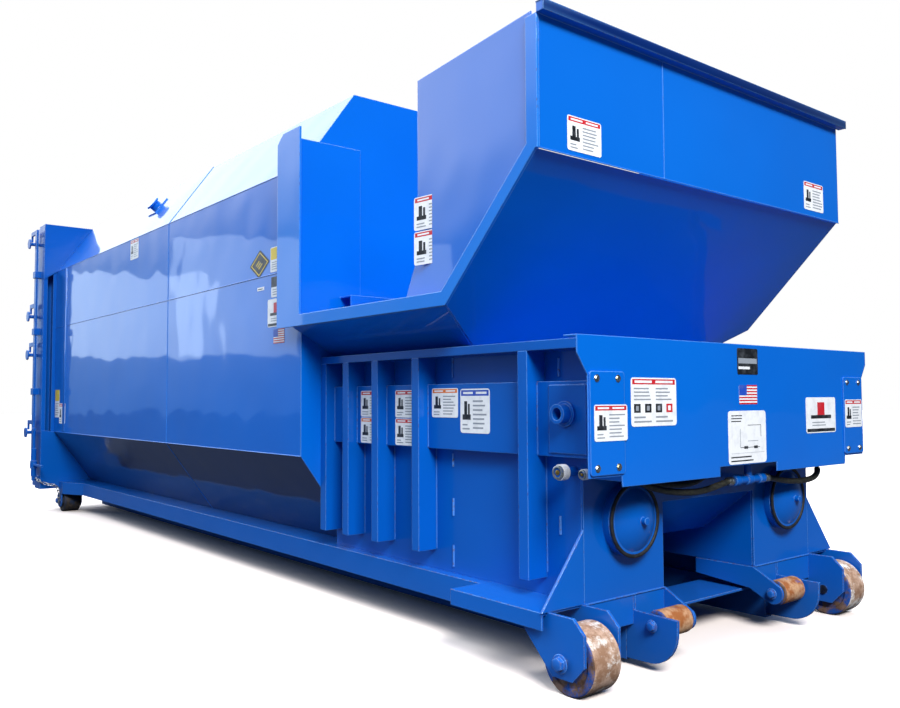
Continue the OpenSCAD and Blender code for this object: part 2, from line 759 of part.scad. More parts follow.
// Channel housings over the cylinders, with a doubler round each pin tube
module side_channels() color(BLUE) centred() both_sides() difference() {
    union() {
        along_y(cover_t, con_y0) difference() {
            translate([-chan_x, chan_z0]) square([chan_d, chan_h]);
            translate([-chan_x + chan_t, chan_z0 + chan_t]) square([chan_d, chan_h - 2 * chan_t]);
        }
        block([-chan_x - 6, 123, chan_z0 + 14], [-chan_x, 306, chan_z1 - 14]);
    }
    rod_x(-chan_x - 10, -chan_x + 10, pin_tube_r, lug_y, cyl_z);
}

// Open tube through the channel and the cylinder's eye, with its weld collar and inner lug
module pin_tubes() color(BLUE) centred() both_sides() {
    difference() {
        union() {
            rod_x(-pin_x1, -pin_x0, pin_tube_r, lug_y, cyl_z);
            rod_x(-chan_x - 16, -chan_x - 6, pin_tube_r + 11, lug_y, cyl_z);
        }
        rod_x(-pin_x1 - 1, -pin_x0 + 1, pin_bore_r, lug_y, cyl_z);
    }
}

module front_cover() color(BLUE) centred() {
    along_y(0, cover_t) polygon([
        [-cover_half_w, box_top_z], [-cover_half_w, box_top_z - 62],
        [-cover_low_half_w, box_top_z - 137], [-cover_low_half_w, cover_low_z],
        [-flap_x1 - 4, cover_low_z], [-flap_x1, cover_low_z - flap_h],
        [-flap_x0, cover_low_z - flap_h], [-flap_x0, cover_low_z],
        [flap_x0, cover_low_z], [flap_x0, cover_low_z - flap_h],
        [flap_x1, cover_low_z - flap_h], [flap_x1 + 4, cover_low_z],
        [cover_low_half_w, cover_low_z], [cover_low_half_w, box_top_z - 137],
        [cover_half_w, box_top_z - 62], [cover_half_w, box_top_z]
    ]);
    block([-box_in_w, cover_t, box_top_z - 6], [box_in_w, mouth_y, box_top_z]);
    both_sides() block([-cover_half_w, cover_t, box_top_z - 5], [-box_half_w - stiff_d, 60, box_top_z]);
}

module access_plates() color(BLUE) centred() both_sides()
    translate([access_x, 0, access_z]) along_y(-access_t, 0) {
        translate([access_round, 0]) square([access_w - 2 * access_round, access_h]);
        translate([0, access_round]) square([access_w, access_h - 2 * access_round]);
        for (x = [access_round, access_w - access_round], z = [access_round, access_h - access_round])
            translate([x, z]) circle(r = access_round);
    }

module access_bolts() color(ZINC) centred() both_sides()
    for (x = [34, access_w - 34], z = [24, access_h - 24])
        translate([access_x + x, -access_t, access_z + z]) {
            rotate([90, 0, 0]) cylinder(r = bolt_r, h = bolt_head - 1, $fn = 6);
            rotate([90, 0, 0]) cylinder(r = bolt_r + 4, h = 1.5);
        }

// ---- wheels and their carriers ----

// Inverted trays over the front wheels
module wheel_steps() color(BLUE) centred() both_sides() {
    z1 = floor_z + 3;
    block([-step_x1, step_y0, z1 - step_t], [-box_half_w, step_y1, z1]);
    block([-step_x1, step_y0, z1 - step_h], [-step_x1 + 8, step_y1, z1 - step_t]);
    block([-step_x1 + 8, step_y1 - 8, z1 - step_h], [-box_half_w, step_y1, z1 - step_t]);
}

module wheel_forks() color(BLUE) centred() both_sides()
    for (x = [-fork_out, -fork_in - fork_t])
        along_x(x, x + fork_t) difference() {
            polygon([[23, 225], [73, floor_z + 3], [step_y0, floor_z + 3],
                [step_y0, floor_z + 3 - step_t], [330, floor_z + 3 - step_t], [300, 190],
                [170, 62], [78, 62], [23, 120]]);
            translate([wheel_y, wheel_r]) circle(r = axle_r);
        }

// Outer nose plates with a half-round toe, and the inner arms that carry the rollers
module nose_plates() color(BLUE) centred() both_sides() {
    along_x(-rail_half_w, -rail_half_w + nose_t) difference() {
        toe_r = 130;
        polygon(concat([[nose_tip_y, 207], [tank_front_y, 212], [tank_front_y, floor_z],
            [nose_back_y, floor_z], [nose_back_y, cross_z], [rail_y0, cross_z], [rail_y0, 28]],
            [for (a = [270:-7.5:180]) [120 + toe_r * cos(a), 160 + toe_r * sin(a)]]));
        translate([roller_y, roller_z]) circle(r = roller_pin_r);
    }
    along_x(-arm_x - nose_t, -arm_x) difference() {
        head_r = 46;
        polygon(concat([[480, floor_z], [480, 203], [205, 176]],
            [for (a = [290:-10:140]) [roller_y + head_r * cos(a), roller_z + head_r * sin(a)]],
            [[100, 222], [150, 250], [tank_front_y, floor_z]]));
        translate([roller_y, roller_z]) circle(r = roller_pin_r);
    }
}

// Axles of the wheels and rollers
module axle_pins() color(STEEL) centred() both_sides() {
    rod_x(-fork_out - 14, -fork_in + 6, axle_r, wheel_y, wheel_r);
    rod_x(-rear_wheel_mid - rear_cheek_half - rear_cheek_t - 12,
        -rear_wheel_mid + rear_cheek_half + rear_cheek_t + 12, axle_r, rear_axle_y, rear_wheel_r);
    rod_x(-rail_half_w - 8, -arm_x + 8, roller_pin_r, roller_y, roller_z);
}

// A wheel with slightly rounded edges and a plain bore
module wheel(mid, r, w, bore, y, z) translate([mid, y, z]) rotate([0, 90, 0]) rotate_extrude()
    polygon([[bore + run_gap, -w / 2], [r - 8, -w / 2], [r, -w / 2 + 8],
        [r, w / 2 - 8], [r - 8, w / 2], [bore + run_gap, w / 2]]);

module front_wheel_left() color(RUST) centred()
    wheel(-wheel_mid, wheel_r, wheel_w, axle_r, wheel_y, wheel_r);
module front_wheel_right() color(RUST) centred()
    wheel(wheel_mid, wheel_r, wheel_w, axle_r, wheel_y, wheel_r);
module rear_wheel_left() color(RUST) centred()
    wheel(-rear_wheel_mid, rear_wheel_r, wheel_w, axle_r, rear_axle_y, rear_wheel_r);
module rear_wheel_right() color(RUST) centred()
    wheel(rear_wheel_mid, rear_wheel_r, wheel_w, axle_r, rear_axle_y, rear_wheel_r);
module nose_roller(s) wheel(s * (roller_in + roller_out) / 2, roller_r, roller_out - roller_in,
    roller_pin_r, roller_y, roller_z);
module nose_roller_left() color(RUST) centred() nose_roller(-1);
module nose_roller_right() color(RUST) centred() nose_roller(1);

// ---- hopper ----

// Upright front with its top lip, and the sloping front below the fold
module hopper_front() color(BLUE) centred() {
    upright_y1 = hopper_y + hopper_t;
    block([-hop_w + bar_t, hopper_y, fold_z], [hop_w, upright_y1, hopper_top_z]);
    block([-hop_w, hopper_y - 35, hopper_top_z - 34], [hop_w + 28, hopper_y, hopper_top_z]);
    intersection() {
        difference() {
            behind_slope();
            behind_slope(hopper_t);
        }
        along_y(hopper_y, mouth_y + 1) polygon([
            [-hop_w + bar_t, fold_z], [-hop_w + bar_t, sill_z], [-box_in_w, box_top_z],
            [box_in_w, box_top_z], [hop_w, sill_z], [hop_w, fold_z]]);
    }
}

// Right wall, inclined left wing, and the plates that funnel down to the charge box
module hopper_walls() color(BLUE) centred() {
    difference() {
        along_x(hop_w - hopper_t, hop_w) translate([hopper_y + hopper_t, sill_z])
            square([con_y0 - hopper_y - hopper_t, hopper_top_z - sill_z]);
        difference() {
            block([0, 0, 0], [2 * hop_w, mouth_y, fold_z]);
            behind_slope(hopper_t);
        }
    }
    difference() {
        translate([-hop_w + bar_t, wing_y0, 0]) rotate([0, 0, -wing_turn])
            along_x(0, hopper_t) polygon([
                [0, sill_z + ledge_t], [wing_len + wing_foot, sill_z + ledge_t],
                [wing_len + wing_foot, sill_z + 52],
                [wing_len, sill_z + 245], [wing_len, hopper_top_z - 13], [0, hopper_top_z - 13]]);
        difference() {
            block([-2 * hop_w, 0, 0], [0, mouth_y, fold_z]);
            behind_slope(hopper_t);
        }
    }
    both_sides() difference() {
        along_y(hopper_y, con_y0) polygon([
            [-hop_w + bar_t, sill_z], [-box_half_w, box_top_z], [-box_half_w + hopper_t + 4, box_top_z],
            [-hop_w + bar_t + hopper_t + 4, sill_z]]);
        difference() {
            block([-2 * hop_w, 0, 0], [2 * hop_w, mouth_y + 50, fold_z]);
            behind_slope(hopper_t);
        }
        block([-box_in_w, 0, 0], [box_in_w, con_y0, fold_z]);
    }
}

// Flat-bar flange up the front edge, down the slope and along the sill, with the corner post
module hopper_frame() color(BLUE) centred() {
    along_x(-hop_w, -hop_w + bar_t) {
        polygon([
            [hopper_y, hopper_top_z - 34], [hopper_y, fold_z], [hop_slope - fold_z, fold_z],
            [sill_y, sill_z], [post_y1, sill_z], [post_y1, guard_top_z - 10],
            [post_y1 - 60, guard_top_z + 36], [post_y0, guard_top_z + 36],
            [post_y0, sill_z + flange_w], [sill_y + flange_w * 0.414, sill_z + flange_w],
            [hopper_y + flange_w, fold_z + flange_w * 0.414], [hopper_y + flange_w, hopper_top_z - 34]]);
    }
    ledge_y0 = sill_y + 12;
    ledge_y1 = wing_y0 + (wing_len + wing_foot) * cos(wing_turn);
    translate([0, 0, sill_z]) linear_extrude(ledge_t) polygon([
        [-hop_w + bar_t, ledge_y0], [-hop_w + bar_t, ledge_y1], [wing_at(ledge_y1), ledge_y1],
        [wing_at(ledge_y0), ledge_y0]]);
}

// Box beam across the back of the charge opening, and the guard plate beside it
module breaker_box() color(BLUE) centred() {
    along_x(-box_in_w, box_in_w) difference() {
        translate([con_y0 - breaker_d, box_top_z - 6]) square([breaker_d, breaker_h + 6]);
        translate([con_y0 - breaker_d + 8, box_top_z + 2]) square([breaker_d - 16, breaker_h - 10]);
    }
    block([-hop_w + bar_t, con_y0 - 8, sill_z + 0.5], [-guard_in_x, con_y0, guard_top_z]);
}

// ---- clean-outs ----

module cleanout_rings() color(BLUE) centred() both_sides() difference() {
    rod_y(collar_y0, tank_front_y, collar_r, -clean_x, clean_z);
    rod_y(collar_y0 - 1, tank_front_y + 1, clean_r, -clean_x, clean_z);
}

// Dished cover with a flat rim, a spigot and a pull knob
module cleanout_cover(s) translate([s * clean_x, cap_y1, clean_z]) rotate([90, 0, 0]) {
    dish_r = (pow(clean_r, 2) + pow(dome_h, 2)) / (2 * dome_h);
    rotate_extrude() {
        square([collar_r - 2, cap_t]);
        polygon(concat([[0, cap_t]], [for (i = [0:12])
            let (a = asin(clean_r / dish_r) * (1 - i / 12))
            [dish_r * sin(a), cap_t + dome_h - dish_r + dish_r * cos(a)]]));
        translate([0, cap_t + dome_h - 4]) square([knob_r, knob_h]);
        translate([0, -14]) square([clean_r - 3, 14]);
    }
}
module cleanout_cover_left() color(BLUE) centred() cleanout_cover(-1);
module cleanout_cover_right() color(BLUE) centred() cleanout_cover(1);

// ---- ram and cylinders ----

// Open box behind a full-width face plate
module ram() color(BLUE) centred() {
    back_y = ram_y1 - ram_face_t;
    block([-ram_face_w, back_y, ram_z0], [ram_face_w, ram_y1, ram_z1]);
    difference() {
        block([-ram_body_w, ram_y0, ram_z0], [ram_body_w, back_y, ram_z1]);
        block([-ram_body_w + ram_t, ram_y0 - 1, ram_z0 + ram_t],
            [ram_body_w - ram_t, back_y + 1, ram_z1 - ram_t]);
    }
    for (x = [-ram_body_w / 3, ram_body_w / 3])
        block([x - ram_t / 2, ram_y0 + 60, ram_z0 + ram_t], [x + ram_t / 2, back_y, ram_z1 - ram_t]);
}

// Sliding top plate that keeps refuse off the ram and its cylinders
module ram_follower() color(BLUE) centred()
    block([-box_in_w + 4, follow_y0, follow_z], [box_in_w - 4, follow_y1, follow_z + follow_t]);

// Hollow cylinder stage with a closed back
module stage(y0, y1, r, bore) both_sides() difference() {
    rod_y(y0, y1, r, -cyl_x, cyl_z);
    rod_y(y0 + 10, y1 + 1, bore, -cyl_x, cyl_z);
}

module cylinder_barrels() color(STEEL) centred() {
    stage(barrel_y0, barrel_y1, barrel_r, stage1_r + GAP);
    both_sides() difference() {
        union() {
            rod_x(-cyl_x - 58, -cyl_x + 50, eye_r, lug_y, cyl_z);
            block([-cyl_x - 40, lug_y, cyl_z - 40], [-cyl_x + 40, barrel_y0, cyl_z + 40]);
        }
        rod_x(-cyl_x - 60, -cyl_x + 60, pin_tube_r, lug_y, cyl_z);
    }
}

module cylinder_stage_one() color(STEEL) centred()
    stage(barrel_y0 + 12, stage1_y1, stage1_r, stage2_r + GAP);

module cylinder_stage_two() color(STEEL) centred()
    stage(barrel_y0 + 24, stage2_y1, stage2_r, plunger_r + GAP);

module cylinder_plungers() color(STEEL) centred() both_sides() {
    rod_y(barrel_y0 + 36, plunger_y1, plunger_r, -cyl_x, cyl_z);
}

// ---- hydraulics under the cover ----

HOSE_A = [
    [-600, 110, 765], [-600, 104, 735], [-586, 84, 704], [-530, 72, 680], [-440, 70, 660],
    [-345, 70, 649], [-258, 70, 645], [-180, 70, 650], [-110, 70, 661], [-50, 70, 670],
    [-10, 70, 671]
];
HOSE_B = [
    [-520, 150, 765], [-516, 150, 738], [-490, 150, 706], [-420, 148, 682], [-330, 146, 670],
    [-240, 146, 666], [-160, 146, 672], [-100, 148, 690], [-70, 150, 720], [-64, 150, 765]
];
HOSE_C = [
    [205, 70, 671], [245, 70, 669], [320, 70, 657], [400, 70, 646], [480, 70, 640],
    [560, 70, 640], [630, 72, 648], [686, 84, 668], [706, 98, 700], [708, 110, 735],
    [708, 110, 765]
];
hose_top_z = 765;
// Quick couplings on the left: distance back, height, radius, reach and sleeve length
COUPLINGS = [[225, 744, 22, 90, 46], [140, 740, 14, 55, 30]];
module hydraulic_hoses() color(OLIVE) centred()
    for (route = [HOSE_A, HOSE_B, HOSE_C]) swept(spline(route), hose_r);

// Tee pipe on its bracket, manifold blocks, and the quick couplings on the side
module hydraulic_fittings() color(BLUE) centred() {
    tee_r = 16;
    tee_y = 70;
    tee_z = 671;
    rod_x(-10, 205, tee_r, tee_y, tee_z);
    for (x = [-10, 80, 170]) rod_x(x, x + 35, tee_r + 5, tee_y, tee_z);
    translate([98, tee_y, tee_z]) cylinder(r = tee_r, h = 100);
    block([60, 45, tee_z + 100], [136, tank_front_y, tee_z + 140]);
    for (x = [-600, -520, -64, 708])
        block([x - 30, 80, hose_top_z], [x + 30, tank_front_y, hose_top_z + 46]);
    for (c = COUPLINGS) {
        rod_x(-box_half_w - c[3], -box_half_w, c[2] * 0.8, c[0], c[1]);
        rod_x(-box_half_w - c[3], -box_half_w - c[3] + c[4], c[2], c[0], c[1]);
    }
}

container_floor();
side_panels();
roof_panel();
roof_slopes();
lower_slopes();
container_front_wall();
outer_rails();
hoist_rails();
cross_members();
rear_posts();
rear_crossbars();
corner_plates();
door_panel();
door_ribs();
door_seal();
hinge_straps();
hinge_brackets();
hinge_pins();
keeper_pins();
latch_bar();
latch_guides();
binder_body();
binder_handle();
safety_chain();
box_sides();
box_floors();
tank_front();
tunnel_plates();
body_stiffeners();
top_rails();
side_channels();
pin_tubes();
front_cover();
access_plates();
access_bolts();
wheel_steps();
wheel_forks();
nose_plates();
axle_pins();
front_wheel_left();
front_wheel_right();
rear_wheel_left();
rear_wheel_right();
nose_roller_left();
nose_roller_right();
hopper_front();
hopper_walls();
hopper_frame();
breaker_box();
cleanout_rings();
cleanout_cover_left();
cleanout_cover_right();
ram();
ram_follower();
cylinder_barrels();
cylinder_stage_one();
cylinder_stage_two();
cylinder_plungers();
hydraulic_hoses();
hydraulic_fittings();
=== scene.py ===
import math
import random

import bpy
from mathutils import Matrix, Vector


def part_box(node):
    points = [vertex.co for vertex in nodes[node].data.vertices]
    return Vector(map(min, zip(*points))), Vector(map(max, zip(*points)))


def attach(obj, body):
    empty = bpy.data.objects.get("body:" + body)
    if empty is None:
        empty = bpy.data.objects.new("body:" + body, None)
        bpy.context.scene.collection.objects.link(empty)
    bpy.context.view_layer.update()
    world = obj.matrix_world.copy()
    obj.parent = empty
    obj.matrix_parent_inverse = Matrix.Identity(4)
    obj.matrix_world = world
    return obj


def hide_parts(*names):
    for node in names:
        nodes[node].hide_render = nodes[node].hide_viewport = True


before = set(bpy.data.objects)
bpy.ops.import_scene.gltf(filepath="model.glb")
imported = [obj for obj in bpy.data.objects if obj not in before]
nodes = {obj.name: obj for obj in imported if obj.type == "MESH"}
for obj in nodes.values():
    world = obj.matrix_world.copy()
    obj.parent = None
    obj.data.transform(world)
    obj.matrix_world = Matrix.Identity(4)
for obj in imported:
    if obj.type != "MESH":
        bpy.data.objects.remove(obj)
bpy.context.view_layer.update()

bpy.ops.object.select_all(action="DESELECT")

# ---- camera ----
# A plain lens at eye height off the loading side's front corner, tilted a little upwards.
# Positions are in millimetres, with y measured back from the front cover's face.
cover_y = round(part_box("front_cover")[0][1], 4)
EYE = (-3094.6, -1924, 1010)
LENS = 34.19


def place(x, y, z):
    return Vector((x / 1000, y / 1000 + cover_y, z / 1000))


turn, tilt, roll = math.radians(38.934), math.radians(2.985), math.radians(-0.265)
ahead = Vector((math.sin(turn) * math.cos(tilt), math.cos(turn) * math.cos(tilt), math.sin(tilt)))
level = Vector((math.cos(turn), -math.sin(turn), 0))
above = level.cross(ahead)
across = level * math.cos(roll) + above * math.sin(roll)
upward = above * math.cos(roll) - level * math.sin(roll)
bpy.ops.object.camera_add()
camera = bpy.context.object
camera.name = "studio_camera"
camera.data.sensor_width = 36
camera.data.lens = LENS
camera.data.clip_end = 200
turned = Matrix((across, upward, -ahead)).transposed().to_4x4()
camera.matrix_world = Matrix.Translation(place(*EYE)) @ turned
bpy.context.scene.camera = camera

# ---- floor and light ----
# A plain pale floor that runs out to a white surround, lit by large soft boxes. The camera sees
# both as white. Every other ray, mirrored or bounced, meets grey paving below and a sky that
# goes from dark ahead to bright behind and above.


def linear(code):
    values = [int(code[i:i + 2], 16) / 255 for i in (1, 3, 5)]
    return [v / 12.92 if v < 0.04045 else ((v + 0.055) / 1.055) ** 2.4 for v in values] + [1.0]


def add_node(finish, kind, settings, links=None):
    node = finish.node_tree.nodes.new(kind)
    for key, value in settings.items():
        if isinstance(key, int) or key in node.inputs:
            node.inputs[key].default_value = value
        else:
            setattr(node, key, value)
    for key, (source, output) in (links or {}).items():
        finish.node_tree.links.new(source.outputs[output], node.inputs[key])
    return node


def empty_finish(name):
    finish = bpy.data.materials.new(name)
    finish.use_nodes = True
    finish.node_tree.nodes.clear()
    return finish


floor_paint = empty_finish("matt_studio_floor")
seen = add_node(floor_paint, "ShaderNodeBsdfDiffuse", {"Color": (1.25, 1.12, 1.04, 1)})
mirrored = add_node(floor_paint, "ShaderNodeBsdfDiffuse", {"Color": linear("#4c5056")})
rays = add_node(floor_paint, "ShaderNodeLightPath", {})
chosen = add_node(floor_paint, "ShaderNodeMixShader", {},
                  {0: (rays, "Is Camera Ray"), 1: (mirrored, 0), 2: (seen, 0)})
add_node(floor_paint, "ShaderNodeOutputMaterial", {}, {"Surface": (chosen, 0)})
bpy.ops.mesh.primitive_plane_add(size=120, location=(0, 0, 0))
floor = bpy.context.object
floor.name = "studio_floor"
floor.data.materials.append(floor_paint)

surround = bpy.data.worlds.new("white_surround")
bpy.context.scene.world = surround
surround.use_nodes = True
surround.node_tree.nodes.clear()
heading = add_node(surround, "ShaderNodeTexCoord", {})
parts = add_node(surround, "ShaderNodeSeparateXYZ", {}, {0: (heading, "Generated")})
rise = add_node(surround, "ShaderNodeMath", {"operation": "MULTIPLY", 1: 0.75}, {0: (parts, "Z")})
behind = add_node(surround, "ShaderNodeMath", {"operation": "MULTIPLY_ADD", 1: 0.45},
                  {0: (parts, "Y"), 2: (rise, 0)})
shifted = add_node(surround, "ShaderNodeMath", {"operation": "ADD", 1: 0.4}, {0: (behind, 0)})
sky = add_node(surround, "ShaderNodeValToRGB", {}, {0: (shifted, 0)})
sky.color_ramp.elements[0].position = 0.1
sky.color_ramp.elements[0].color = (0.015, 0.025, 0.045, 1)
sky.color_ramp.elements[1].position = 1.0
sky.color_ramp.elements[1].color = (2.2, 2.35, 2.5, 1)
for level_at, tone in ((0.5, (0.09, 0.14, 0.22, 1)), (0.8, (0.2, 0.34, 0.56, 1)),
                       (0.93, (0.3, 0.46, 0.7, 1))):
    sky.color_ramp.elements.new(level_at).color = tone
rays = add_node(surround, "ShaderNodeLightPath", {})
unseen = add_node(surround, "ShaderNodeMix", {"data_type": "RGBA", 7: (1, 1, 1, 1)},
                  {0: (rays, "Is Camera Ray"), 6: (sky, 0)})
glow = add_node(surround, "ShaderNodeBackground", {"Strength": 1.0}, {"Color": (unseen, 2)})
add_node(surround, "ShaderNodeOutputWorld", {}, {"Surface": (glow, 0)})

for name, spot, aim, size, power in (
        ("key_softbox", (-4.6, -11.2, 8.0), (0, -2.6, 1.0), (4.5, 3.5), 1800),
        ("side_window_near", (-4.4, 6.3, 2.5), (-0.9, 0.2, 1.5), (1.9, 1.7), 16),
        ("side_window_far", (-4.4, 11.0, 2.6), (-0.9, 2.4, 1.5), (2.6, 1.6), 22),
        ("top_softbox", (0, 0, 9.0), (0, 0, 0), (9, 9), 260)):
    bpy.ops.object.light_add(type="AREA", location=spot)
    lamp = bpy.context.object
    lamp.name = name
    lamp.data.shape = "RECTANGLE"
    lamp.data.size, lamp.data.size_y = size
    lamp.data.energy = power
    lamp.data.color = (0.72, 0.87, 1.0) if "window" in name else (1.0, 1.0, 1.0)
    lamp.rotation_euler = (Vector(aim) - Vector(spot)).to_track_quat("-Z", "Y").to_euler()
bpy.context.scene.view_settings.view_transform = "Standard"

# ---- container, charge box, hopper and door plates ----
# Mild steel plate, cut, folded and seam welded, then sprayed with blue alkyd enamel. The film
# is glossy, waves a little over the plate and holds dust near the ground. Its cut edges are painted
# a lighter blue, partly for thinner film there and partly as a painted highlight of edges catching
# light.


def sprayed_enamel(name, fresh, deep, dust_top, chips, gloss=0.09, coat=0.8):
    finish = empty_finish(name)
    spot = add_node(finish, "ShaderNodeTexCoord", {})
    edge = add_node(finish, "ShaderNodeBevel", {"samples": 4, "Radius": 0.005})
    face = add_node(finish, "ShaderNodeNewGeometry", {})
    match = add_node(finish, "ShaderNodeVectorMath", {"operation": "DOT_PRODUCT"},
                     {0: (edge, 0), 1: (face, "True Normal")})
    brink = add_node(finish, "ShaderNodeMapRange", {1: 0.985, 2: 0.84, 3: 0.0, 4: 1.0},
                     {0: (match, "Value")})
    # spray passes about 700 mm wide, and scuffs about 12 mm across
    passes = add_node(finish, "ShaderNodeTexNoise", {"Scale": 1.4, "Detail": 2.0},
                      {"Vector": (spot, "Object")})
    scuffs = add_node(finish, "ShaderNodeTexNoise", {"Scale": 80.0, "Detail": 6.0},
                      {"Vector": (spot, "Object")})
    film = add_node(finish, "ShaderNodeMix", {"data_type": "RGBA", 6: linear(fresh), 7: linear(deep)},
                    {0: (passes, 0)})
    # cut edges in a lighter blue: partly thinner film, partly a painted highlight of the edges catching
    # light
    thin_film_and_edge_highlight = add_node(finish, "ShaderNodeMix", {"data_type": "RGBA", 7: linear("#6aa8f4")},
                    {0: (brink, 0), 6: (film, 2)})
    # dust: thick on the ground side, gone by dust_top metres up
    height = add_node(finish, "ShaderNodeSeparateXYZ", {}, {0: (spot, "Object")})
    low = add_node(finish, "ShaderNodeMapRange", {1: 0.0, 2: dust_top, 3: 0.3, 4: 0.0},
                   {0: (height, "Z")})
    patchy = add_node(finish, "ShaderNodeTexNoise", {"Scale": 9.0, "Detail": 8.0, "Roughness": 0.7},
                      {"Vector": (spot, "Object")})
    dust = add_node(finish, "ShaderNodeMath", {"operation": "MULTIPLY"}, {0: (low, 0), 1: (patchy, 0)})
    dusty = add_node(finish, "ShaderNodeMix", {"data_type": "RGBA", 7: linear("#5f6b80")},
                     {0: (dust, 0), 6: (thin_film_and_edge_highlight, 2)})
    # rust where the film has chipped: only on edges, and only where the scuffs are deep
    chip = add_node(finish, "ShaderNodeMapRange", {1: 0.62 - 0.1 * chips, 2: 0.72 - 0.1 * chips},
                    {0: (scuffs, 0)})
    bare = add_node(finish, "ShaderNodeMath", {"operation": "MULTIPLY"}, {0: (chip, 0), 1: (brink, 0)})
    rusty = add_node(finish, "ShaderNodeMix", {"data_type": "RGBA", 7: linear("#7a5a44")},
                     {0: (bare, 0), 6: (dusty, 2)})
    rough = add_node(finish, "ShaderNodeMath", {"operation": "MULTIPLY_ADD", 1: 0.5, 2: 0.35},
                     {0: (dust, 0)})
    # plate wave about 400 mm long, orange peel drawn 6 mm wide so that it shows
    wave = add_node(finish, "ShaderNodeTexNoise", {"Scale": 2.5, "Detail": 1.0},
                    {"Vector": (spot, "Object")})
    peel = add_node(finish, "ShaderNodeTexNoise", {"Scale": 170.0, "Detail": 2.0},
                    {"Vector": (spot, "Object")})
    wavy = add_node(finish, "ShaderNodeBump", {"Strength": 0.35, "Distance": 0.02},
                    {"Height": (wave, 0), "Normal": (edge, 0)})
    peeled = add_node(finish, "ShaderNodeBump", {"Strength": 0.05, "Distance": 0.0006},
                      {"Height": (peel, 0), "Normal": (wavy, 0)})
    skin = add_node(finish, "ShaderNodeBsdfPrincipled",
                    {"IOR": 1.35, "Specular IOR Level": 0.2, "Coat Weight": coat,
                     "Coat Roughness": gloss, "Coat IOR": 1.5},
                    {"Base Color": (rusty, 2), "Roughness": (rough, 0), "Normal": (peeled, 0),
                     "Coat Normal": (wavy, 0)})
    add_node(finish, "ShaderNodeOutputMaterial", {}, {"Surface": (skin, 0)})
    return finish


def repaint(names, finish):
    for name in names:
        nodes[name].data.materials.clear()
        nodes[name].data.materials.append(finish)


shell_enamel = sprayed_enamel("sprayed_blue_enamel_shell", "#006fda", "#0066cf", 0.8, 0.2, 0.05)
repaint(["side_panels", "roof_panel", "roof_slopes", "container_front_wall", "container_floor",
         "hopper_walls", "breaker_box", "hopper_front", "front_cover",
         "access_plates", "door_panel", "door_ribs"], shell_enamel)
# The hopper frame takes a lighter copy of the blue: a painted highlight of its bars catching light.
frame_highlight_enamel = sprayed_enamel("painted_highlight_blue_enamel_frame", "#1a80e6", "#0f74da", 0.8, 0.4, 0.05)
repaint(["hopper_frame"], frame_highlight_enamel)
# The under slopes take a much darker copy of the blue: painted shade on plates that face the ground.
slope_shade_enamel = sprayed_enamel("painted_shade_blue_enamel_under_slopes", "#04397a", "#03326c", 1.0, 0.3, 0.07)
repaint(["lower_slopes"], slope_shade_enamel)
box_enamel = sprayed_enamel("brushed_blue_enamel_box", "#0464c8", "#0259b8", 0.35, 0.8, 0.12, 0.6)
repaint(["box_sides", "tank_front", "tunnel_plates", "body_stiffeners", "top_rails", "side_channels",
         "pin_tubes", "cleanout_rings", "rear_posts", "rear_crossbars", "corner_plates",
         "hinge_straps", "hinge_brackets", "keeper_pins", "latch_bar", "latch_guides",
         "binder_body", "binder_handle", "hydraulic_fittings", "cleanout_cover_left",
         "cleanout_cover_right", "box_floors"], box_enamel)
chassis_enamel = sprayed_enamel("worn_blue_enamel_chassis", "#0868cc", "#045cba", 0.3, 1.6, 0.16, 0.5)
repaint(["outer_rails", "hoist_rails", "cross_members", "wheel_steps", "wheel_forks",
         "nose_plates"], chassis_enamel)

# ---- bare and plated steel, iron and rubber ----
# Bright zinc on bolts and chain, brass in the couplings, chrome on the cylinder stages, turned
# steel on the axles, brown cast iron on wheels and rollers, black rubber on seals and hoses.


def worn_metal(name, bright, dull, metal, smooth, matt, scale, dent=0.0004):
    finish = empty_finish(name)
    spot = add_node(finish, "ShaderNodeTexCoord", {})
    broad = add_node(finish, "ShaderNodeTexNoise", {"Scale": scale, "Detail": 7.0, "Roughness": 0.65},
                     {"Vector": (spot, "Object")})
    fine = add_node(finish, "ShaderNodeTexNoise", {"Scale": scale * 9, "Detail": 4.0},
                    {"Vector": (spot, "Object")})
    mask = add_node(finish, "ShaderNodeMapRange", {1: 0.42, 2: 0.6}, {0: (broad, 0)})
    tone = add_node(finish, "ShaderNodeMix", {"data_type": "RGBA", 6: linear(bright), 7: linear(dull)},
                    {0: (mask, 0)})
    rough = add_node(finish, "ShaderNodeMapRange", {1: 0.3, 2: 0.7, 3: smooth, 4: matt},
                     {0: (fine, 0)})
    pits = add_node(finish, "ShaderNodeBump", {"Strength": 0.4, "Distance": dent}, {"Height": (fine, 0)})
    skin = add_node(finish, "ShaderNodeBsdfPrincipled", {"Metallic": metal},
                    {"Base Color": (tone, 2), "Roughness": (rough, 0), "Normal": (pits, 0)})
    add_node(finish, "ShaderNodeOutputMaterial", {}, {"Surface": (skin, 0)})
    return finish


def iron_finish(name, brown, pale, paint, paint_low, paint_high):
    finish = worn_metal(name, brown, pale, 0.0, 0.55, 0.85, 22, 0.0012)
    tree = finish.node_tree
    skin = next(n for n in tree.nodes if n.type == "BSDF_PRINCIPLED")
    tone = next(n for n in tree.nodes if n.type == "MIX")
    spot = next(n for n in tree.nodes if n.type == "TEX_COORD")
    left = add_node(finish, "ShaderNodeTexNoise", {"Scale": 14.0, "Detail": 9.0, "Roughness": 0.72},
                    {"Vector": (spot, "Object")})
    held = add_node(finish, "ShaderNodeMapRange", {1: paint_low, 2: paint_high}, {0: (left, 0)})
    coated = add_node(finish, "ShaderNodeMix", {"data_type": "RGBA", 7: linear(paint)},
                      {0: (held, 0), 6: (tone, 2)})
    tree.links.new(coated.outputs[2], skin.inputs["Base Color"])
    return finish


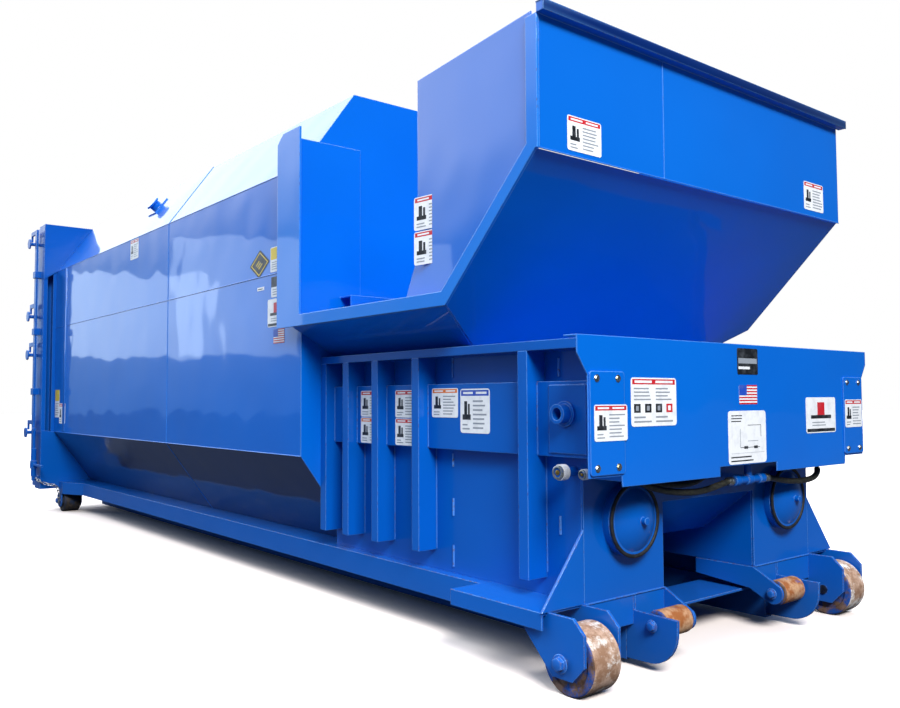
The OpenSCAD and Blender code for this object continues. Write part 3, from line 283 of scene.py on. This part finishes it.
zinc = worn_metal("bright_zinc_plate", "#d3d6d8", "#a9a48f", 1.0, 0.2, 0.45, 60)
brass = worn_metal("drawn_brass", "#c9a24e", "#8f6f34", 1.0, 0.25, 0.5, 50)
chrome = worn_metal("hard_chrome", "#dfe2e6", "#cfd3d8", 1.0, 0.05, 0.14, 30, 0.00005)
turned_steel = worn_metal("turned_steel", "#8f9398", "#6d6f72", 1.0, 0.25, 0.5, 40)
seal_rubber = worn_metal("black_seal_rubber", "#121314", "#26272a", 0.0, 0.5, 0.75, 45)
hose_rubber = worn_metal("braided_hose_rubber", "#1b1b17", "#3a392c", 0.0, 0.4, 0.65, 70)
tread_iron = iron_finish("worn_cast_iron_tread", "#9a7459", "#cdab94", "#f2ebe3", 0.5, 0.6)
side_iron = iron_finish("worn_cast_iron_sides", "#5d4434", "#86695a", "#0a4fa6", 0.45, 0.55)
roller_iron = iron_finish("rusty_roller_iron", "#a35f2c", "#d0a27a", "#1a57a8", 0.6, 0.68)
# The rear wheels take darker copies of the front wheels' iron and blue paint.
rear_iron = iron_finish("darker_rear_iron", "#2c2723", "#4a4038", "#1c2f4e", 0.5, 0.6)
repaint(["access_bolts", "hinge_pins"], zinc)
repaint(["door_seal"], seal_rubber)
repaint(["cylinder_stage_one", "cylinder_stage_two", "cylinder_plungers"], chrome)
repaint(["cylinder_barrels", "ram", "ram_follower"], chassis_enamel)
repaint(["axle_pins"], turned_steel)


def settle(piece, name, body, finishes=(), angle=35):
    bpy.ops.object.select_all(action="DESELECT")
    piece.select_set(True)
    bpy.context.view_layer.objects.active = piece
    bpy.ops.object.transform_apply(location=True, rotation=True, scale=True)
    bpy.ops.object.shade_smooth_by_angle(angle=math.radians(angle))
    piece.name = name
    piece.data.name = name
    if finishes:
        piece.data.materials.clear()
        for finish in finishes:
            piece.data.materials.append(finish)
    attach(piece, body)
    return piece


def joined(group):
    bpy.ops.object.select_all(action="DESELECT")
    for piece in group:
        piece.select_set(True)
    bpy.context.view_layer.objects.active = group[0]
    bpy.ops.object.join()
    return bpy.context.object


def edit_faces(piece, chosen):
    bpy.ops.object.select_all(action="DESELECT")
    piece.select_set(True)
    bpy.context.view_layer.objects.active = piece
    bpy.context.tool_settings.mesh_select_mode = (False, False, True)
    bpy.ops.object.mode_set(mode="EDIT")
    bpy.ops.mesh.select_all(action="DESELECT")
    bpy.ops.object.mode_set(mode="OBJECT")
    for face in piece.data.polygons:
        face.select = chosen(face)
    bpy.ops.object.mode_set(mode="EDIT")


def round_bar(radius, length, sides=48, bevel=0.001):
    bpy.ops.mesh.primitive_cylinder_add(vertices=sides, radius=radius, depth=length)
    piece = bpy.context.object
    edit_faces(piece, lambda face: len(face.vertices) > 4)
    bpy.ops.mesh.bevel(offset=bevel, segments=2, affect="EDGES")
    bpy.ops.object.mode_set(mode="OBJECT")
    return piece


def copy_of(piece, matrix):
    twin = piece.copy()
    twin.data = piece.data.copy()
    bpy.context.collection.objects.link(twin)
    twin.matrix_world = matrix
    return twin


def facing(spot, direction, scale=(1, 1, 1)):
    turned_to = Vector(direction).to_track_quat("Z", "Y").to_matrix().to_4x4()
    return Matrix.Translation(spot) @ turned_to @ Matrix.Diagonal((*scale, 1))


def drop(piece):
    bpy.data.objects.remove(piece, do_unlink=True)


# ---- ground wheels and nose rollers ----
# Cast iron, turned to size with worn rims, a dished side and a bored hub that runs on the axle.
# Each is a cylinder whose ends are inset and stepped, then bridged through for the bore.
FRONT_AXLE = (118, 118)    # y and z of each axle
REAR_AXLE = (6426, 100)
ROLLER_AXLE = (95, 170)
ROUNDING = 0.008           # worn corner of the rim
STEP = 0.003               # width of the slope into the dish and up to the hub
RIM_SHARE, DISH_SHARE, HUB_SHARE = 0.22, 0.36, 0.42


def is_end(face):
    return len(face.vertices) > 4 and abs(face.normal.z) > 0.99


def iron_wheel(name, body, node, centre, radius, width, bore, dish, finishes):
    bpy.ops.mesh.primitive_cylinder_add(vertices=96, radius=radius, depth=width)
    wheel = bpy.context.object
    edit_faces(wheel, is_end)
    bpy.ops.mesh.bevel(offset=ROUNDING, segments=4, affect="EDGES")
    bpy.ops.object.mode_set(mode="OBJECT")
    edit_faces(wheel, is_end)
    land = radius - bore - 1.5 * ROUNDING
    bpy.ops.mesh.inset(thickness=land * RIM_SHARE, depth=0)
    bpy.ops.mesh.inset(thickness=STEP, depth=-dish)
    bpy.ops.mesh.inset(thickness=land * DISH_SHARE, depth=0)
    bpy.ops.mesh.inset(thickness=STEP, depth=dish * 0.9)
    bpy.ops.mesh.inset(thickness=land * HUB_SHARE - 0.002, depth=0)
    bpy.ops.mesh.bridge_edge_loops()
    bpy.ops.object.mode_set(mode="OBJECT")
    wheel.matrix_world = facing(centre, (1, 0, 0))
    settle(wheel, name, body, finishes, 30)
    rim = radius * 0.985
    for face in wheel.data.polygons:
        arm = face.center - centre
        face.material_index = 0 if math.hypot(arm.y, arm.z) > rim and abs(face.normal.x) < 0.5 else 1
    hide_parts(node)


for side, sign in (("left", -1), ("right", 1)):
    iron_wheel("iron_front_wheel_" + side, "wheel_front_" + side, "front_wheel_" + side,
               place(sign * 868.5, *FRONT_AXLE), 0.118, 0.140, 0.0201, 0.008, (tread_iron, side_iron))
    iron_wheel("iron_rear_wheel_" + side, "wheel_rear_" + side, "rear_wheel_" + side,
               place(sign * 845, *REAR_AXLE), 0.100, 0.140, 0.0201, 0.008, (rear_iron, rear_iron))
    iron_wheel("iron_nose_roller_" + side, "roller_" + side, "nose_roller_" + side,
               place(sign * 406, *ROLLER_AXLE), 0.052, 0.156, 0.0141, 0.003, (roller_iron, side_iron))

# ---- axle nuts and door header bolts ----
# Hex heads on flat washers, screwed up against the ends of the axles and roller pins and painted
# over with the plates. Three small zinc-plated ones hold the door's header.
NUT_ENDS = ((975, FRONT_AXLE, 24), (947, REAR_AXLE, 22), (514, ROLLER_AXLE, 17))   # x, axle, size
ROLLER_INNER_END, ROLLER_NUT = 298, 17


def face_at(node, axis, end):
    # where a node's box starts (end 0) or stops (end 1) along x, y or z, as place takes it
    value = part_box(node)[end]["xyz".index(axis)]
    return round((value - (cover_y if axis == "y" else 0)) * 1000, 1)


door_back = face_at("door_ribs", "y", 1)
bpy.ops.mesh.primitive_cylinder_add(vertices=6, radius=1, depth=0.62, location=(0, 0, 0.49))
head = bpy.context.object
edit_faces(head, lambda face: face.normal.z > 0.9)
bpy.ops.mesh.inset(thickness=0.12, depth=0.06)
bpy.ops.object.mode_set(mode="OBJECT")
washer = round_bar(1.38, 0.18, 40, 0.03)
washer.location = (0, 0, 0.09)
hex_bolt = joined([head, washer])
bpy.ops.object.transform_apply(location=True, rotation=True, scale=True)
heads = []
for sign in (-1, 1):
    for x, axle, size in NUT_ENDS:
        spot = place(sign * x, *axle)
        heads.append(copy_of(hex_bolt, facing(spot, (sign, 0, 0), [size / 1000] * 3)))
    spot = place(sign * ROLLER_INNER_END, *ROLLER_AXLE)
    heads.append(copy_of(hex_bolt, facing(spot, (-sign, 0, 0), [ROLLER_NUT / 1000] * 3)))
settle(joined(heads), "axle_end_nuts", "root", (chassis_enamel,))
lid_bolts = []
for x in (-640, 0, 640):
    spot = place(x, door_back + 2, 2560)
    lid_bolts.append(copy_of(hex_bolt, facing(spot, (0, 1, 0), [0.011] * 3)))
settle(joined(lid_bolts), "door_header_bolts", "door", (zinc,))
drop(hex_bolt)

# ---- clean-out gaskets ----
# Black rubber rings squeezed between each dished cover and its collar, seen proud of the rim.
# A ring with a flattened section that travels with the cover.
GASKET_RADIUS, GASKET_ROD, GASKET_FLATNESS = 0.1335, 0.0075, 0.8
GASKET_AT = (538, 145.5, 555)
for side, sign in (("left", -1), ("right", 1)):
    x, y, z = GASKET_AT
    bpy.ops.mesh.primitive_torus_add(major_radius=GASKET_RADIUS, minor_radius=GASKET_ROD,
                                     major_segments=96, minor_segments=14,
                                     location=place(sign * x, y, z), rotation=(math.pi / 2, 0, 0))
    ring = bpy.context.object
    ring.scale = (1, 1, GASKET_FLATNESS)
    edit_faces(ring, lambda face: face.normal.z < -0.95)
    bpy.ops.mesh.inset(thickness=0.0006, depth=0.0002)
    bpy.ops.object.mode_set(mode="OBJECT")
    settle(ring, "cleanout_gasket_" + side, "cleanout_" + side, (seal_rubber,))

# ---- hoses ----
# Steel-braided rubber hoses pushed into crimped zinc ferrules, held by the manifold blocks at one
# end and the tee at the other. The tubes are merged, rounded copies of the designed routes.
smooth_hose = copy_of(nodes["hydraulic_hoses"], nodes["hydraulic_hoses"].matrix_world.copy())
smooth_hose.parent = None
bpy.ops.object.select_all(action="DESELECT")
smooth_hose.select_set(True)
bpy.context.view_layer.objects.active = smooth_hose
bpy.ops.object.mode_set(mode="EDIT")
bpy.ops.mesh.select_all(action="SELECT")
bpy.ops.mesh.remove_doubles(threshold=0.00005)
bpy.ops.mesh.tris_convert_to_quads()
bpy.ops.mesh.subdivide(number_cuts=1, smoothness=0.6)
bpy.ops.object.mode_set(mode="OBJECT")
for key in list(smooth_hose.keys()):    # the copy isn't the designed node, so it drops its marks
    if key.startswith("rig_"):
        del smooth_hose[key]
settle(smooth_hose, "rounded_hoses", "root", (hose_rubber,), 60)
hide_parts("hydraulic_hoses")
SLEEVE_RADIUS, SLEEVE_LENGTH = 0.0162, 0.040
sleeve = round_bar(SLEEVE_RADIUS, SLEEVE_LENGTH, 32, 0.0015)
rings = [copy_of(sleeve, Matrix.Translation((0, 0, z)) @ Matrix.Diagonal((1.12, 1.12, 0.12, 1)))
         for z in (-0.015, -0.007, 0.001)]
sleeve = joined([sleeve] + rings)
bpy.ops.object.transform_apply(location=True, rotation=True, scale=True)
crimps = []
for x, y, z, direction in ((-600, 108, 746, (0, 0, 1)), (-520, 150, 746, (0, 0, 1)),
                           (-64, 150, 746, (0, 0, 1)), (708, 110, 746, (0, 0, 1)),
                           (-31, 70, 670.6, (1, 0, 0)), (226, 70, 670, (-1, 0, 0))):
    crimps.append(copy_of(sleeve, facing(place(x, y, z), direction)))
settle(joined(crimps), "crimped_ferrules", "root", (zinc,))
drop(sleeve)

# ---- quick couplings ----
# Zinc-plated steel sockets with a grooved pull-back collar and a brass valve face, screwed on
# the pipes that leave the left channel. Turned: a bar with stepped ends and raised collars.
SOCKET_PROUD = 4    # how far the socket's end stands past the pipe's
for name, x, y, z, radius, reach in (("pressure_coupler", -866, 225, 744, 0.0225, 0.046),
                                     ("return_coupler", -831, 140, 740, 0.0145, 0.030)):
    barrel = round_bar(radius + 0.0025, reach, 40, 0.002)
    edit_faces(barrel, lambda face: len(face.vertices) > 4 and face.normal.z > 0.9)
    bpy.ops.mesh.inset(thickness=radius * 0.25, depth=0)
    bpy.ops.mesh.inset(thickness=0.001, depth=-0.006)
    bpy.ops.object.mode_set(mode="OBJECT")
    collars = [copy_of(barrel, Matrix.Translation((0, 0, lift)) @ Matrix.Diagonal((1.14, 1.14, 0.1, 1)))
               for lift in (-reach * 0.32, -reach * 0.14, reach * 0.04, reach * 0.22)]
    valve = round_bar(radius * 0.42, 0.010, 24, 0.001)
    valve.location = (0, 0, reach / 2 - 0.005)
    for turned_part in (valve, barrel):
        turned_part.data.materials.append(zinc)
        turned_part.data.materials.append(brass)
    for face in valve.data.polygons:
        face.material_index = 1
    socket = joined([barrel, valve] + collars)
    middle = x + reach * 1000 / 2 - SOCKET_PROUD
    socket.matrix_world = facing(place(middle, y, z), (-1, 0, 0))
    settle(socket, name, "root")

# ---- safety chain ----
# Welded links of 7 mm zinc-plated rod along the chain's path from the binder's lug to the wheel
# box. One stretched ring is copied along the path, each turned a quarter from the last.
LINK_STRETCH = 0.0095
LINK_PITCH = 0.0325
rear_y = face_at("side_panels", "y", 1)
frame_low_z = face_at("rear_posts", "z", 0)
bpy.ops.mesh.primitive_torus_add(major_radius=0.0105, minor_radius=0.0036, major_segments=28,
                                 minor_segments=10)
link = bpy.context.object
edit_faces(link, lambda face: face.center.x > 0)
bpy.ops.transform.translate(value=(LINK_STRETCH, 0, 0))
bpy.ops.mesh.select_all(action="INVERT")
bpy.ops.transform.translate(value=(-LINK_STRETCH, 0, 0))
bpy.ops.object.mode_set(mode="OBJECT")
path = [(-1120, 60, 100), (-1119, 20, 97), (-1114, -8, 84), (-1095, -42, 66), (-1050, -60, 46),
        (-1000, -72, 36), (-966, -80, 16), (-954, -84, -40), (-954, -80, -100), (-948, -77, -131)]
points = [place(x, rear_y + y, frame_low_z + z) for x, y, z in path]
lengths = [(b - a).length for a, b in zip(points, points[1:])]
walked, links, number = 0.016, [], 0
while walked < sum(lengths):
    left, i = walked, 0
    while i < len(lengths) - 1 and left > lengths[i]:
        left -= lengths[i]
        i += 1
    step = (points[i + 1] - points[i]).normalized()
    spot = points[i] + step * left
    swing = Matrix.Rotation(math.radians(45 + 90 * (number % 2)), 4, "X")
    turned_to = step.to_track_quat("X", "Z").to_matrix().to_4x4()
    links.append(copy_of(link, Matrix.Translation(spot) @ turned_to @ swing))
    walked += LINK_PITCH
    number += 1
chain = settle(joined(links), "welded_chain_links", "root", (zinc,), 60)
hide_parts("safety_chain")
drop(link)

# ---- weld beads ----
# Fillets of weld metal left along the seams and in short stitches on the charge box, sprayed with
# the plates. One rippled bead is copied along each seam in runs of at most 600 mm.
RIPPLES = 40
SWELL = 1.16
LONGEST_RUN = 0.6
bpy.ops.mesh.primitive_circle_add(vertices=8, radius=1, location=(0, 0, -0.5))
ripple = bpy.context.object
bpy.ops.object.transform_apply(location=True, rotation=False, scale=False)
bpy.context.tool_settings.mesh_select_mode = (True, False, False)
bpy.ops.object.mode_set(mode="EDIT")
bpy.ops.mesh.select_all(action="SELECT")
for k in range(RIPPLES):
    bpy.ops.mesh.extrude_region_move(TRANSFORM_OT_translate={"value": (0, 0, 1 / RIPPLES)})
    swell = SWELL if k % 2 else 1 / SWELL
    bpy.ops.transform.resize(value=(swell, swell, 1),
                             center_override=(0, 0, (k + 1) / RIPPLES - 0.5))
bpy.ops.mesh.select_all(action="SELECT")
bpy.ops.mesh.normals_make_consistent(inside=False)
bpy.ops.object.mode_set(mode="OBJECT")


def seam(route, radius):
    runs = []
    for a, b in zip(route, route[1:]):
        a, b = place(*a), place(*b)
        count = max(1, math.ceil((b - a).length / LONGEST_RUN))
        for k in range(count):
            low, high = a.lerp(b, k / count), a.lerp(b, (k + 1) / count)
            size = (radius, radius, (high - low).length)
            runs.append(copy_of(ripple, facing((low + high) / 2, high - low, size)))
    return runs


side_x = face_at("side_panels", "x", 1)
side_low, side_high = face_at("side_panels", "z", 0), face_at("side_panels", "z", 1)
front_y = face_at("container_front_wall", "y", 0)
floor_x, floor_z = face_at("container_floor", "x", 1), face_at("container_floor", "z", 0)
roof_x, roof_z = face_at("roof_panel", "x", 1), face_at("roof_panel", "z", 1)
JOINT_Y = 3683    # where the container's front and rear plates meet
PLATE_SEAM_Z = 1675    # where the side's upper and lower plates meet
hull = []
for sign in (-1, 1):
    x = sign * side_x
    hull += seam([(x, front_y, PLATE_SEAM_Z), (x, rear_y, PLATE_SEAM_Z)], 0.0035)
    hull += seam([(sign * floor_x, JOINT_Y, floor_z), (x, JOINT_Y, side_low), (x, JOINT_Y, side_high),
                  (sign * roof_x, JOINT_Y, roof_z)], 0.0035)
    hull += seam([(x, front_y, side_low), (x, rear_y, side_low)], 0.003)
    hull += seam([(x, front_y, side_high), (x, rear_y, side_high)], 0.003)
hull += seam([(-roof_x, JOINT_Y, roof_z), (roof_x, JOINT_Y, roof_z)], 0.0035)
settle(joined(hull), "container_weld_seams", "root", (shell_enamel,), 60)
box_x = face_at("box_sides", "x", 1)
CHANNEL_SEAM_X = 822    # where the stiffeners cross the cylinder channel
STIFFENER_WIDTH = 50
stitches = []
for y, spans in ((926, ((1100, 1185), (720, 776), (512, 587), (297, 390))),
                 (300, ((1090, 1160), (710, 764), (507, 576)))):
    for low, high in spans:
        for sign in (-1, 1):
            stitches += seam([(sign * box_x, y, low), (sign * box_x, y, high)], 0.006)
for y in (372, 1045, 1360, 1613, 1821):
    for sign in (-1, 1):
        for edge_y in (y - 2, y + STIFFENER_WIDTH + 2):
            stitches += seam([(sign * box_x, edge_y, 360), (sign * box_x, edge_y, 790)], 0.004)
            x = sign * CHANNEL_SEAM_X
            stitches += seam([(x, edge_y, 800), (x, edge_y, 1068)], 0.0035)
stitches += seam([(-box_x, 186, floor_z), (-319, 186, floor_z)], 0.004)
stitches += seam([(319, 186, floor_z), (box_x, 186, floor_z)], 0.004)
settle(joined(stitches), "charge_box_weld_stitches", "root", (box_enamel,), 60)
WING_X = -1036    # outer face of the hopper's left wing at its front edge
chute = seam([(-346, 130.5, 1872), (-346, 130.5, 2342)], 0.003)
chute += seam([(WING_X, 131, 1870), (1046, 131, 1870)], 0.003)
chute += seam([(WING_X, 180, 2330), (WING_X, 180, 1850), (WING_X, 640, 1384)], 0.005)
settle(joined(chute), "hopper_weld_seams", "root", (shell_enamel,), 60)
drop(ripple)

# ---- hopper lip cap and side strips ----
# A folded steel angle that caps the hopper's top edge, in a near-black blue that is painted shade
# under the lip, and a flat bar welded up each of the container's sides near the door. Bars cut from
# a block with every edge rounded.


def flat_bar(low, high, bevel):
    a, b = place(*low), place(*high)
    bpy.ops.mesh.primitive_cube_add(size=1, location=(a + b) / 2)
    bar = bpy.context.object
    bar.scale = b - a
    bpy.ops.object.transform_apply(location=False, rotation=False, scale=True)
    edit_faces(bar, lambda face: True)
    bpy.ops.mesh.bevel(offset=bevel, segments=2, affect="EDGES")
    bpy.ops.object.mode_set(mode="OBJECT")
    return bar


# The cap's near-black blue is painted shade: seen from below, the lip's underside is in shade.
lip_shade_enamel = sprayed_enamel("painted_shade_lip_enamel", "#04286a", "#031f58", 0.1, 0.4, 0.2, 0.3)
lip_left, lip_right = face_at("hopper_front", "x", 0) - 2, face_at("hopper_front", "x", 1) + 2
lip_y, lip_z = face_at("hopper_front", "y", 0), face_at("hopper_front", "z", 1)
lip = joined([flat_bar((lip_left, lip_y - 2.5, lip_z - 36), (lip_right, lip_y + 0.5, lip_z + 3), 0.001),
              flat_bar((lip_left, lip_y - 2, lip_z), (lip_right, lip_y + 37, lip_z + 3), 0.001)])
settle(lip, "hopper_lip_cap", "root", (lip_shade_enamel,))
STRIP_Y = (6111, 6180)
strips = [flat_bar((sign * side_x - 4, STRIP_Y[0], 735), (sign * side_x + 4, STRIP_Y[1], 2190), 0.0015)
          for sign in (-1, 1)]
settle(joined(strips), "container_side_strips", "root", (shell_enamel,))

# ---- decals ----
# Printed vinyl stuck on the cover, hopper, channel and container, with rounded corners and plain
# marks in place of words. A sheet is 0.6 mm thick and 0.6 mm off its plate, more than the real
# film, so that it shows clear of it, and its marks are flat faces just above it.
SHEET = 0.0006
MARK_LIFT, MARK_STEP = 0.0008, 0.00004


def vinyl(name, code):
    finish = empty_finish(name)
    spot = add_node(finish, "ShaderNodeTexCoord", {})
    grime = add_node(finish, "ShaderNodeTexNoise", {"Scale": 35.0, "Detail": 6.0},
                     {"Vector": (spot, "Object")})
    faint = add_node(finish, "ShaderNodeMapRange", {1: 0.45, 2: 0.8, 3: 0.0, 4: 0.25}, {0: (grime, 0)})
    tone = add_node(finish, "ShaderNodeMix",
                    {"data_type": "RGBA", 6: linear(code), 7: linear("#8e949c")}, {0: (faint, 0)})
    skin = add_node(finish, "ShaderNodeBsdfPrincipled", {"Roughness": 0.38}, {"Base Color": (tone, 2)})
    add_node(finish, "ShaderNodeOutputMaterial", {}, {"Surface": (skin, 0)})
    return finish


inks = [vinyl("printed_vinyl_" + name, code) for name, code in (
    ("white", "#fbfcfd"), ("red", "#d3202a"), ("blue", "#1f4fc0"), ("orange", "#f07a1c"),
    ("black", "#17181b"), ("grey", "#9aa0a8"), ("yellow", "#f2d21f"))]
WHITE, RED, NAVY, ORANGE, DARK, GREY, YELLOW = range(7)
chance = random.Random(12)


def decal(name, low, high, out, marks, base=WHITE, tip=0.0, stretch=(1, 1)):
    # low and high are opposite corners on the plate, and right runs to a reader's right
    a, b = place(*low), place(*high)
    normal = Vector(out).normalized()
    right = Vector((0, 0, 1)).cross(normal).normalized()
    up = normal.cross(right)
    span = b - a
    width, height = abs(span.dot(right)), abs(span.dot(up))
    basis = Matrix((right, up, normal)).transposed().to_4x4()
    frame_of = Matrix.Translation((a + b) / 2 + normal * SHEET) @ basis
    frame_of = frame_of @ Matrix.Diagonal((*stretch, 1, 1)) @ Matrix.Rotation(math.radians(tip), 4, "Z")
    bpy.ops.mesh.primitive_plane_add(size=1)
    sheet = bpy.context.object
    sheet.scale = (width, height, 1)
    bpy.ops.object.transform_apply(location=False, rotation=False, scale=True)
    edit_faces(sheet, lambda face: True)
    bpy.ops.mesh.bevel(offset=min(width, height) * 0.07, segments=3, affect="VERTICES")
    bpy.ops.mesh.select_all(action="SELECT")
    bpy.ops.mesh.extrude_region_move(TRANSFORM_OT_translate={"value": (0, 0, SHEET)})
    bpy.ops.object.mode_set(mode="OBJECT")
    for ink in inks:
        sheet.data.materials.append(ink)
    for face in sheet.data.polygons:
        face.material_index = base
    bits = [sheet]
    for k, (x0, y0, x1, y1, ink) in enumerate(marks):
        spot = ((x0 + x1 - 1) * width / 2, (y0 + y1 - 1) * height / 2, MARK_LIFT + MARK_STEP * k)
        bpy.ops.mesh.primitive_plane_add(size=1, location=spot)
        bit = bpy.context.object
        bit.scale = ((x1 - x0) * width, (y1 - y0) * height, 1)
        for each in inks:
            bit.data.materials.append(each)
        bit.data.polygons[0].material_index = ink
        bits.append(bit)
    for bit in bits:
        bit.data.transform(frame_of @ bit.matrix_basis)
        bit.matrix_basis = Matrix()
    settle(joined(bits), name, "root")


def rows(x0, x1, y0, y1, count, ink=GREY):
    pitch = (y1 - y0) / count
    return [(x0, y0 + pitch * (k + 0.25), x0 + (x1 - x0) * chance.uniform(0.6, 1),
             y0 + pitch * (k + 0.6), ink) for k in range(count)]


def warning(band):
    marks = [(0.03, 0.84, 0.97, 0.97, band)]
    marks += [(0.1, 0.88, 0.44, 0.93, WHITE), (0.54, 0.88, 0.9, 0.93, WHITE)]
    marks += [(0.08, 0.3, 0.36, 0.42, DARK), (0.14, 0.42, 0.24, 0.72, DARK)]
    marks += [(0.27, 0.36, 0.33, 0.66, DARK)]
    return marks + rows(0.44, 0.94, 0.08, 0.78, 7) + rows(0.08, 0.36, 0.06, 0.24, 2)


def wide_warning(band):
    marks = [(0.03, 0.86, 0.97, 0.97, band)]
    marks += [(0.08, 0.89, 0.45, 0.94, WHITE), (0.53, 0.89, 0.92, 0.94, WHITE)]
    for k in range(4):
        marks.append((0.06 + 0.235 * k, 0.28, 0.2 + 0.235 * k, 0.46, DARK if k < 3 else RED))
        marks.append((0.1 + 0.235 * k, 0.32, 0.16 + 0.235 * k, 0.42, GREY if k < 3 else WHITE))
    return marks + rows(0.06, 0.45, 0.52, 0.82, 4) + rows(0.53, 0.94, 0.52, 0.82, 4) \
        + rows(0.06, 0.45, 0.06, 0.24, 2) + rows(0.53, 0.94, 0.06, 0.24, 2)


stripes = [(0.0, k / 13 + 0.004, 1.0, (k + 1) / 13, RED) for k in range(0, 13, 2)] \
    + [(0.0, 6 / 13, 0.42, 1.0, NAVY)]
diagram = rows(0.08, 0.4, 0.78, 0.94, 3, DARK) + rows(0.06, 0.94, 0.03, 0.17, 2, DARK) \
    + [(0.06, 0.2, 0.94, 0.205, GREY), (0.5, 0.72, 0.86, 0.73, DARK), (0.85, 0.5, 0.86, 0.73, DARK),
       (0.3, 0.3, 0.31, 0.66, GREY), (0.3, 0.3, 0.82, 0.31, DARK), (0.5, 0.42, 0.78, 0.43, GREY),
       (0.4, 0.28, 0.5, 0.33, DARK), (0.66, 0.28, 0.76, 0.33, DARK)]
generic = [(0.38, 0.5, 0.62, 0.86, RED), (0.16, 0.4, 0.84, 0.5, DARK), (0.03, 0.03, 0.97, 0.12, DARK)] \
    + rows(0.2, 0.8, 0.18, 0.34, 2)
front, side = (0, -1, 0), (-1, 0, 0)
PLATE_Y, HOPPER_Y = face_at("access_plates", "y", 0), face_at("hopper_frame", "y", 0)
HULL_X = -side_x
WEB_X = 6 - face_at("side_channels", "x", 1)    # the channel's web, 6 mm inside its doublers
decal("cover_warning_decal", (-732, 0, 909), (-474, 0, 1081), front, wide_warning(RED))
decal("near_access_decal", (-930, PLATE_Y, 864), (-760, PLATE_Y, 987), front, warning(RED))
decal("far_access_decal", (781, PLATE_Y, 870), (940, PLATE_Y, 997), front, warning(RED))
decal("cover_black_plate", (-74, 0, 1101), (73, 0, 1206), front,
      [(0.05, 0.42, 0.95, 0.62, GREY), (0.05, 0.2, 0.6, 0.3, WHITE)], DARK)
decal("cover_striped_decal", (-65, 0, 982), (63, 0, 1059), front, stripes)
decal("cover_diagram_decal", (-146, 0, 746), (123, 0, 956), front, diagram)
decal("cover_generic_decal", (444, 0, 852), (702, 0, 1008), front, generic)
decal("hopper_near_decal", (-897, HOPPER_Y, 1888), (-717, HOPPER_Y, 2014), front, warning(RED))
decal("hopper_far_decal", (719, HOPPER_Y, 1898), (898, HOPPER_Y, 2032), front, warning(RED))
decal("channel_orange_decal", (WEB_X, 839, 930), (WEB_X, 1016, 1054), side, warning(ORANGE))
decal("channel_blue_decal", (WEB_X, 639, 868), (WEB_X, 823, 1050), side, warning(NAVY))
for k, (y0, y1) in enumerate(((1114, 1291), (1400, 1580))):
    decal(f"channel_stack_upper_{k + 1}", (WEB_X, y0, 925), (WEB_X, y1, 1049), side, warning(RED))
    decal(f"channel_stack_lower_{k + 1}", (WEB_X, y0, 800), (WEB_X, y1, 921), side,
          warning(RED if k == 0 else ORANGE))
decal("container_white_decal", (HULL_X, 4270, 2040), (HULL_X, 4440, 2185), side, warning(RED))
decal("container_yellow_decal", (HULL_X, 2060, 1686), (HULL_X, 2209, 1819), side,
      [(0.03, 0.5, 0.97, 0.97, YELLOW)] + rows(0.1, 0.9, 0.08, 0.44, 4))
decal("container_black_decal", (HULL_X, 2060, 1551), (HULL_X, 2198, 1659), side,
      [(0.0, 0.5, 1.0, 1.0, DARK)] + rows(0.1, 0.9, 0.08, 0.44, 3))
decal("container_generic_decal", (HULL_X, 2060, 1394), (HULL_X, 2237, 1542), side, generic)
decal("container_striped_decal", (HULL_X, 2049, 1304), (HULL_X, 2169, 1379), side, stripes)
decal("container_small_decal", (HULL_X, 2281, 1601), (HULL_X, 2362, 1619), side,
      rows(0.1, 0.9, 0.1, 0.9, 1, DARK))
decal("container_rear_upper_decal", (HULL_X, 6287, 856), (HULL_X, 6430, 1105), side,
      [(0.0, 0.6, 1.0, 1.0, YELLOW)] + rows(0.1, 0.9, 0.06, 0.54, 6))
decal("container_rear_lower_decal", (HULL_X, 6098, 804), (HULL_X, 6288, 984), side, warning(RED))
decal("container_diamond_decal", (HULL_X, 2270, 1686), (HULL_X, 2406, 1810), side,
      [(0.08, 0.08, 0.92, 0.92, YELLOW), (0.12, 0.12, 0.88, 0.88, DARK)]
      + rows(0.3, 0.7, 0.3, 0.7, 3, YELLOW), DARK, 45, (1.3, 0.85))
WING_LEAN = math.radians(6.4)    # the wing runs in towards the back, from where it starts
WING_START = 169
wing_out = (-math.cos(WING_LEAN), -math.sin(WING_LEAN), 0)


def on_wing(y, z):
    return (WING_X + (y - WING_START) * math.tan(WING_LEAN), y, z)


for name, z0, z1 in (("wing_upper_decal", 1712, 1852), ("wing_lower_decal", 1566, 1706)):
    decal(name, on_wing(730, z0), on_wing(940, z1), wing_out, warning(RED))
